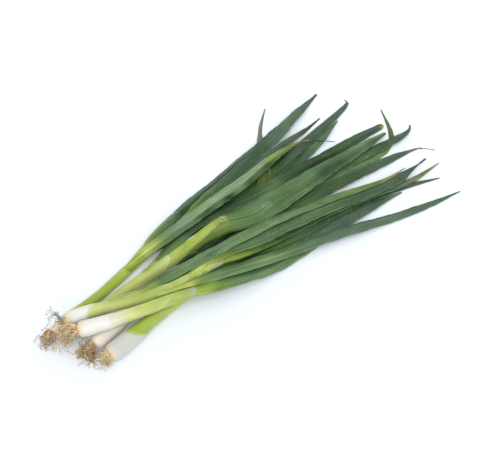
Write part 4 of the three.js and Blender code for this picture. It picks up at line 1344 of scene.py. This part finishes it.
def specks_group():
    """Small scattered specks: the cores of Voronoi cells, drawn out along the piece, where noise lets them
    show."""
    group, given, result = new_group(
        "scattered_specks", [("Scale", "NodeSocketFloat", 500.0), ("Size", "NodeSocketFloat", 0.2)],
        [("Mask", "NodeSocketFloat")])
    place = place_on(group)
    cells = group.nodes.new("ShaderNodeTexVoronoi")
    group.links.new(place, cells.inputs["Vector"])
    group.links.new(given.outputs["Scale"], cells.inputs["Scale"])
    core = math_node(group, "LESS_THAN", cells.outputs["Distance"], given.outputs["Size"])
    patches = ramp(group, noise(group, place, 60.0, 3.0), 0.5, 0.62)
    group.links.new(math_node(group, "MULTIPLY", core, patches), result.inputs["Mask"])
    return group


def earth_group():
    """Smears of fine earth: rough noise in the piece's own space, stronger where Reach is high."""
    group, given, result = new_group(
        "earth_smears", [("Reach", "NodeSocketFloat", 0.5)], [("Mask", "NodeSocketFloat")])
    rough = noise(group, place_on(group), 420.0, 6.0, 0.7)
    mask = math_node(group, "MULTIPLY", ramp(group, rough, 0.5, 0.72), given.outputs["Reach"])
    group.links.new(mask, result.inputs["Mask"])
    return group


def use_group(tree, group, **values):
    """A copy of a node group in a material, with its inputs linked or set."""
    node = tree.nodes.new("ShaderNodeGroup")
    node.node_tree = group
    for label, value in values.items():
        put(tree, node.inputs[label], value)
    return node.outputs


def shared_group(name, maker):
    """The node group of that name, made once."""
    return bpy.data.node_groups.get(name) or maker()


def new_material(name):
    """A material with a bare Principled shader."""
    material = bpy.data.materials.new(name)
    material.use_nodes = True
    tree = material.node_tree
    shader = tree.nodes["Principled BSDF"]
    return material, tree, shader


def bump(tree, shader, height, depth):
    """A Bump node on the shader's Normal: the height runs from 0 to depth, in metres."""
    node = tree.nodes.new("ShaderNodeBump")
    node.inputs["Strength"].default_value = 1.0
    node.inputs["Distance"].default_value = depth
    tree.links.new(height, node.inputs["Height"])
    tree.links.new(node.outputs["Normal"], shader.inputs["Normal"])


def leaf_material(name, settings):
    """A leaf blade: its own skin colour, darker and lighter in fine veins and a mottle, under a bloom of
    thin wax that is paler, bluer and rougher, with pale specks where it is waxy. A dry end is rough too."""
    material, tree, shader = new_material(name)
    bloom, dryness, _ = split_up(tree, attribute(tree, "finish", "Vector"))
    veins = use_group(tree, shared_group("lengthwise_veins", veins_group), Around=8.0, Along=9.0)
    mottle = noise(tree, place_on(tree), 620.0, 3.0, 0.7)
    skin = attribute(tree, "skin", "Color")
    skin = shaded(tree, skin, veins["Veins"], 0.35, 0.7, (0.72, 0.75, 0.70), (1.24, 1.21, 1.24))
    skin = shaded(tree, skin, veins["Fine"], 0.35, 0.65, (0.90, 0.90, 0.90), (1.09, 1.09, 1.09))
    skin = shaded(tree, skin, mottle, 0.35, 0.65, (0.91, 0.92, 0.91), (1.1, 1.08, 1.11))
    wax = use_group(tree, shared_group("waxy_bloom", bloom_group), Amount=bloom)["Mask"]
    waxed = mix_colours(tree, wax, skin, tuple(settings.bloom))
    specks = use_group(tree, shared_group("scattered_specks", specks_group), Scale=520.0, Size=0.22)["Mask"]
    waxy = ramp(tree, bloom, 0.0, 0.15)
    shown = math_node(tree, "MULTIPLY", math_node(tree, "MULTIPLY", specks, waxy), 0.5)
    specked = mix_colours(tree, shown, waxed, PALETTE["rim"])
    tree.links.new(specked, shader.inputs["Base Color"])
    rough = math_node(tree, "MULTIPLY_ADD", wax, 0.25, settings.roughness)
    rough = math_node(tree, "MULTIPLY_ADD", veins["Fine"], 0.12, rough)
    rough = math_node(tree, "MULTIPLY_ADD", dryness, 0.25, rough)
    tree.links.new(rough, shader.inputs["Roughness"])
    shader.inputs["IOR"].default_value = 1.42
    shader.inputs["Specular IOR Level"].default_value = 0.25
    height = math_node(tree, "MULTIPLY_ADD", veins["Fine"], 0.4, veins["Veins"])
    bump(tree, shader, height, 0.10 * MM)
    return material


EARTH_REACH = 22 * MM  # how far from the root plate there is earth on a stem


def stem_material(name, settings):
    """The moist skin of a shank: its own colour with fine veins, a little light under the surface, a thin
    gloss, and earth near the roots."""
    material, tree, shader = new_material(name)
    veins = use_group(tree, shared_group("lengthwise_veins", veins_group), Around=10.0, Along=14.0)
    skin = attribute(tree, "skin", "Color")
    skin = shaded(tree, skin, veins["Veins"], 0.35, 0.7, (0.97, 0.975, 0.96), (1.02, 1.02, 1.025))
    along = split_up(tree, attribute(tree, "grain", "Vector"))[2]
    low = math_node(tree, "SUBTRACT", 1.0, ramp(tree, along, 0.0, EARTH_REACH))
    earth = use_group(tree, shared_group("earth_smears", earth_group), Reach=low)["Mask"]
    soiled = mix_colours(tree, math_node(tree, "MULTIPLY", earth, 0.25), skin, PALETTE["brown"])
    tree.links.new(soiled, shader.inputs["Base Color"])
    rough = math_node(tree, "MULTIPLY_ADD", veins["Fine"], 0.16, settings.roughness - 0.08)
    rough = math_node(tree, "MULTIPLY_ADD", earth, 0.35, rough)
    tree.links.new(rough, shader.inputs["Roughness"])
    shader.inputs["IOR"].default_value = 1.42
    shader.inputs["Subsurface Weight"].default_value = 0.9
    shader.inputs["Subsurface Radius"].default_value = (1.0, 0.9, 0.5)
    shader.inputs["Subsurface Scale"].default_value = 8 * MM
    height = math_node(tree, "MULTIPLY_ADD", veins["Fine"], 0.5, veins["Veins"])
    bump(tree, shader, height, 0.06 * MM)
    return material


def root_material(name):
    """Dry root fibre: each strand's own colour, mottled, with a rough, matt surface."""
    material, tree, shader = new_material(name)
    skin, place = attribute(tree, "skin", "Color"), place_on(tree)
    mottle = noise(tree, place, 900.0, 4.0, 0.6)
    skin = shaded(tree, skin, mottle, 0.3, 0.7, (0.8, 0.77, 0.74), (1.2, 1.2, 1.2))
    tree.links.new(skin, shader.inputs["Base Color"])
    shader.inputs["Roughness"].default_value = 0.78
    bump(tree, shader, noise(tree, place, 2400.0, 3.0), 0.08 * MM)
    return material


# Operators.

class BUNCH_OT_stems(bpy.types.Operator):
    """Make the bulb and shank of each plant"""

    bl_idname = "bunch.stems"
    bl_label = "Stems"

    def execute(self, context):
        settings = context.scene.bunch_stems
        material = stem_material("moist_sheath", settings)
        for plant in PLANTS:
            skin = stem_skin(plant, settings)
            make_object(f"{plant}_bulb_and_shank", skin, material, "stem_skin", f"{plant}_stem")
        return {"FINISHED"}


class BUNCH_OT_leaves(bpy.types.Operator):
    """Make the leaf blades of each plant"""

    bl_idname = "bunch.leaves"
    bl_label = "Leaves"

    def execute(self, context):
        settings = context.scene.bunch_leaves
        slots = sorted({look["slot"] for look in LEAVES.values()})
        materials = {slot: leaf_material(f"{slot}_skin", settings) for slot in slots}
        for leaf, look in LEAVES.items():
            skin = leaf_skin(leaf, settings)
            make_object(leaf.replace("_leaf_", "_blade_"), skin, materials[look["slot"]], look["slot"], leaf)
        return {"FINISHED"}


class BUNCH_OT_roots(bpy.types.Operator):
    """Make the root tuft of each plant"""

    bl_idname = "bunch.roots"
    bl_label = "Root tufts"

    def execute(self, context):
        settings = context.scene.bunch_roots
        material = root_material("dry_root_fibre")
        for plant in PLANTS:
            skin = tuft_skin(plant, settings)
            make_object(f"{plant}_root_tuft", skin, material, "root_fibre", f"{plant}_roots")
        return {"FINISHED"}


class BUNCH_OT_stage(bpy.types.Operator):
    """Make the floor, the light and the camera"""

    bl_idname = "bunch.stage"
    bl_label = "Stage"

    def execute(self, context):
        settings = context.scene.bunch_stage
        make_floor(settings)
        make_light(context.scene, settings)
        make_camera(context.scene, settings)
        return {"FINISHED"}


def make_floor(settings):
    """A plain pale floor just under the bunch."""
    half = settings.floor_size / 2
    mesh = bpy.data.meshes.new("floor")
    mesh.from_pydata([(-half, -half, 0), (half, -half, 0), (half, half, 0), (-half, half, 0)], [],
                     [(0, 1, 2, 3)])
    material, _, shader = new_material("pale_floor")
    shader.inputs["Base Color"].default_value = (*settings.floor_colour, 1)
    shader.inputs["Roughness"].default_value = 0.9
    shader.inputs["Specular IOR Level"].default_value = 0.2
    shader.inputs["Emission Color"].default_value = (*settings.sky_colour, 1)
    shader.inputs["Emission Strength"].default_value = settings.floor_glow
    mesh.materials.append(material)
    floor = bpy.data.objects.new("floor", mesh)
    bpy.context.scene.collection.objects.link(floor)


KEY_FROM = (-0.3, -0.6, 0.95)  # the way to the key light
LOOK_AT = (-0.00696, -0.03382, 0.008)  # the point that the camera looks at, just above the table


def make_light(scene, settings):
    """A very soft key light from overhead, and an even pale sky all round. Where nothing stands before the
    sky, it is seen in the backdrop's colour."""
    lamp = bpy.data.lights.new("key", "SUN")
    lamp.energy = settings.sun
    lamp.angle = settings.key_width
    lamp.color = settings.key_colour
    key = bpy.data.objects.new("key", lamp)
    scene.collection.objects.link(key)
    towards = Vector(KEY_FROM)
    key.rotation_mode = "QUATERNION"
    key.rotation_quaternion = towards.to_track_quat("Z", "Y")
    key.location = towards

    scene.world = bpy.data.worlds.new("sky")
    scene.world.use_nodes = True
    tree = scene.world.node_tree
    tree.nodes.clear()
    light = tree.nodes.new("ShaderNodeBackground")
    light.inputs["Color"].default_value = (*settings.sky_colour, 1)
    light.inputs["Strength"].default_value = settings.sky
    seen = tree.nodes.new("ShaderNodeBackground")
    seen.inputs["Color"].default_value = (*settings.backdrop, 1)
    seen.inputs["Strength"].default_value = 1.0
    path = tree.nodes.new("ShaderNodeLightPath")
    mix = tree.nodes.new("ShaderNodeMixShader")
    out = tree.nodes.new("ShaderNodeOutputWorld")
    tree.links.new(path.outputs["Is Camera Ray"], mix.inputs[0])
    tree.links.new(light.outputs[0], mix.inputs[1])
    tree.links.new(seen.outputs[0], mix.inputs[2])
    tree.links.new(mix.outputs[0], out.inputs[0])
    scene.view_settings.view_transform = "Standard"


def make_camera(scene, settings):
    """The camera, on a long lens, high on the left of the root end."""
    data = bpy.data.cameras.new("camera")
    data.lens = settings.lens
    data.sensor_width = 36
    camera = bpy.data.objects.new("camera", data)
    scene.collection.objects.link(camera)
    level = math.cos(settings.elevation)
    back = Vector((math.sin(settings.azimuth) * level, -math.cos(settings.azimuth) * level,
                   math.sin(settings.elevation)))
    camera.location = Vector(LOOK_AT) + back * settings.distance
    camera.rotation_mode = "QUATERNION"
    camera.rotation_quaternion = back.to_track_quat("Z", "Y")
    data.clip_start, data.clip_end = 0.05, 60
    scene.camera = camera


class BUNCH_PT_panel(bpy.types.Panel):
    """The bunch's sizes and its makers"""

    bl_label = "Spring onions"
    bl_idname = "BUNCH_PT_panel"
    bl_space_type = "VIEW_3D"
    bl_region_type = "UI"
    bl_category = "Spring onions"

    def draw(self, context):
        for group, operators in (
            ("bunch_stems", ("bunch.stems",)),
            ("bunch_leaves", ("bunch.leaves",)),
            ("bunch_roots", ("bunch.roots",)),
            ("bunch_stage", ("bunch.stage",)),
        ):
            box = self.layout.box()
            settings = getattr(context.scene, group)
            for name in settings.bl_rna.properties.keys():
                if name not in ("rna_type", "name"):
                    box.prop(settings, name)
            for operator in operators:
                box.operator(operator)


SETTINGS = {
    "bunch_leaves": BunchLeafSettings,
    "bunch_stems": BunchStemSettings,
    "bunch_roots": BunchRootSettings,
    "bunch_stage": BunchStageSettings,
}
CLASSES = (*SETTINGS.values(), BUNCH_OT_stems, BUNCH_OT_leaves, BUNCH_OT_roots, BUNCH_OT_stage,
           BUNCH_PT_panel)


def register():
    for item in CLASSES:
        bpy.utils.register_class(item)
    for name, group in SETTINGS.items():
        setattr(bpy.types.Scene, name, PointerProperty(type=group))


def unregister():
    for name in SETTINGS:
        delattr(bpy.types.Scene, name)
    for item in reversed(CLASSES):
        bpy.utils.unregister_class(item)


def main():
    """Makes everything in order."""
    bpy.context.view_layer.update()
    register()
    bpy.ops.bunch.stage()
    bpy.ops.bunch.stems()
    bpy.ops.bunch.leaves()
    bpy.ops.bunch.roots()


if __name__ == "__main__":
    main()
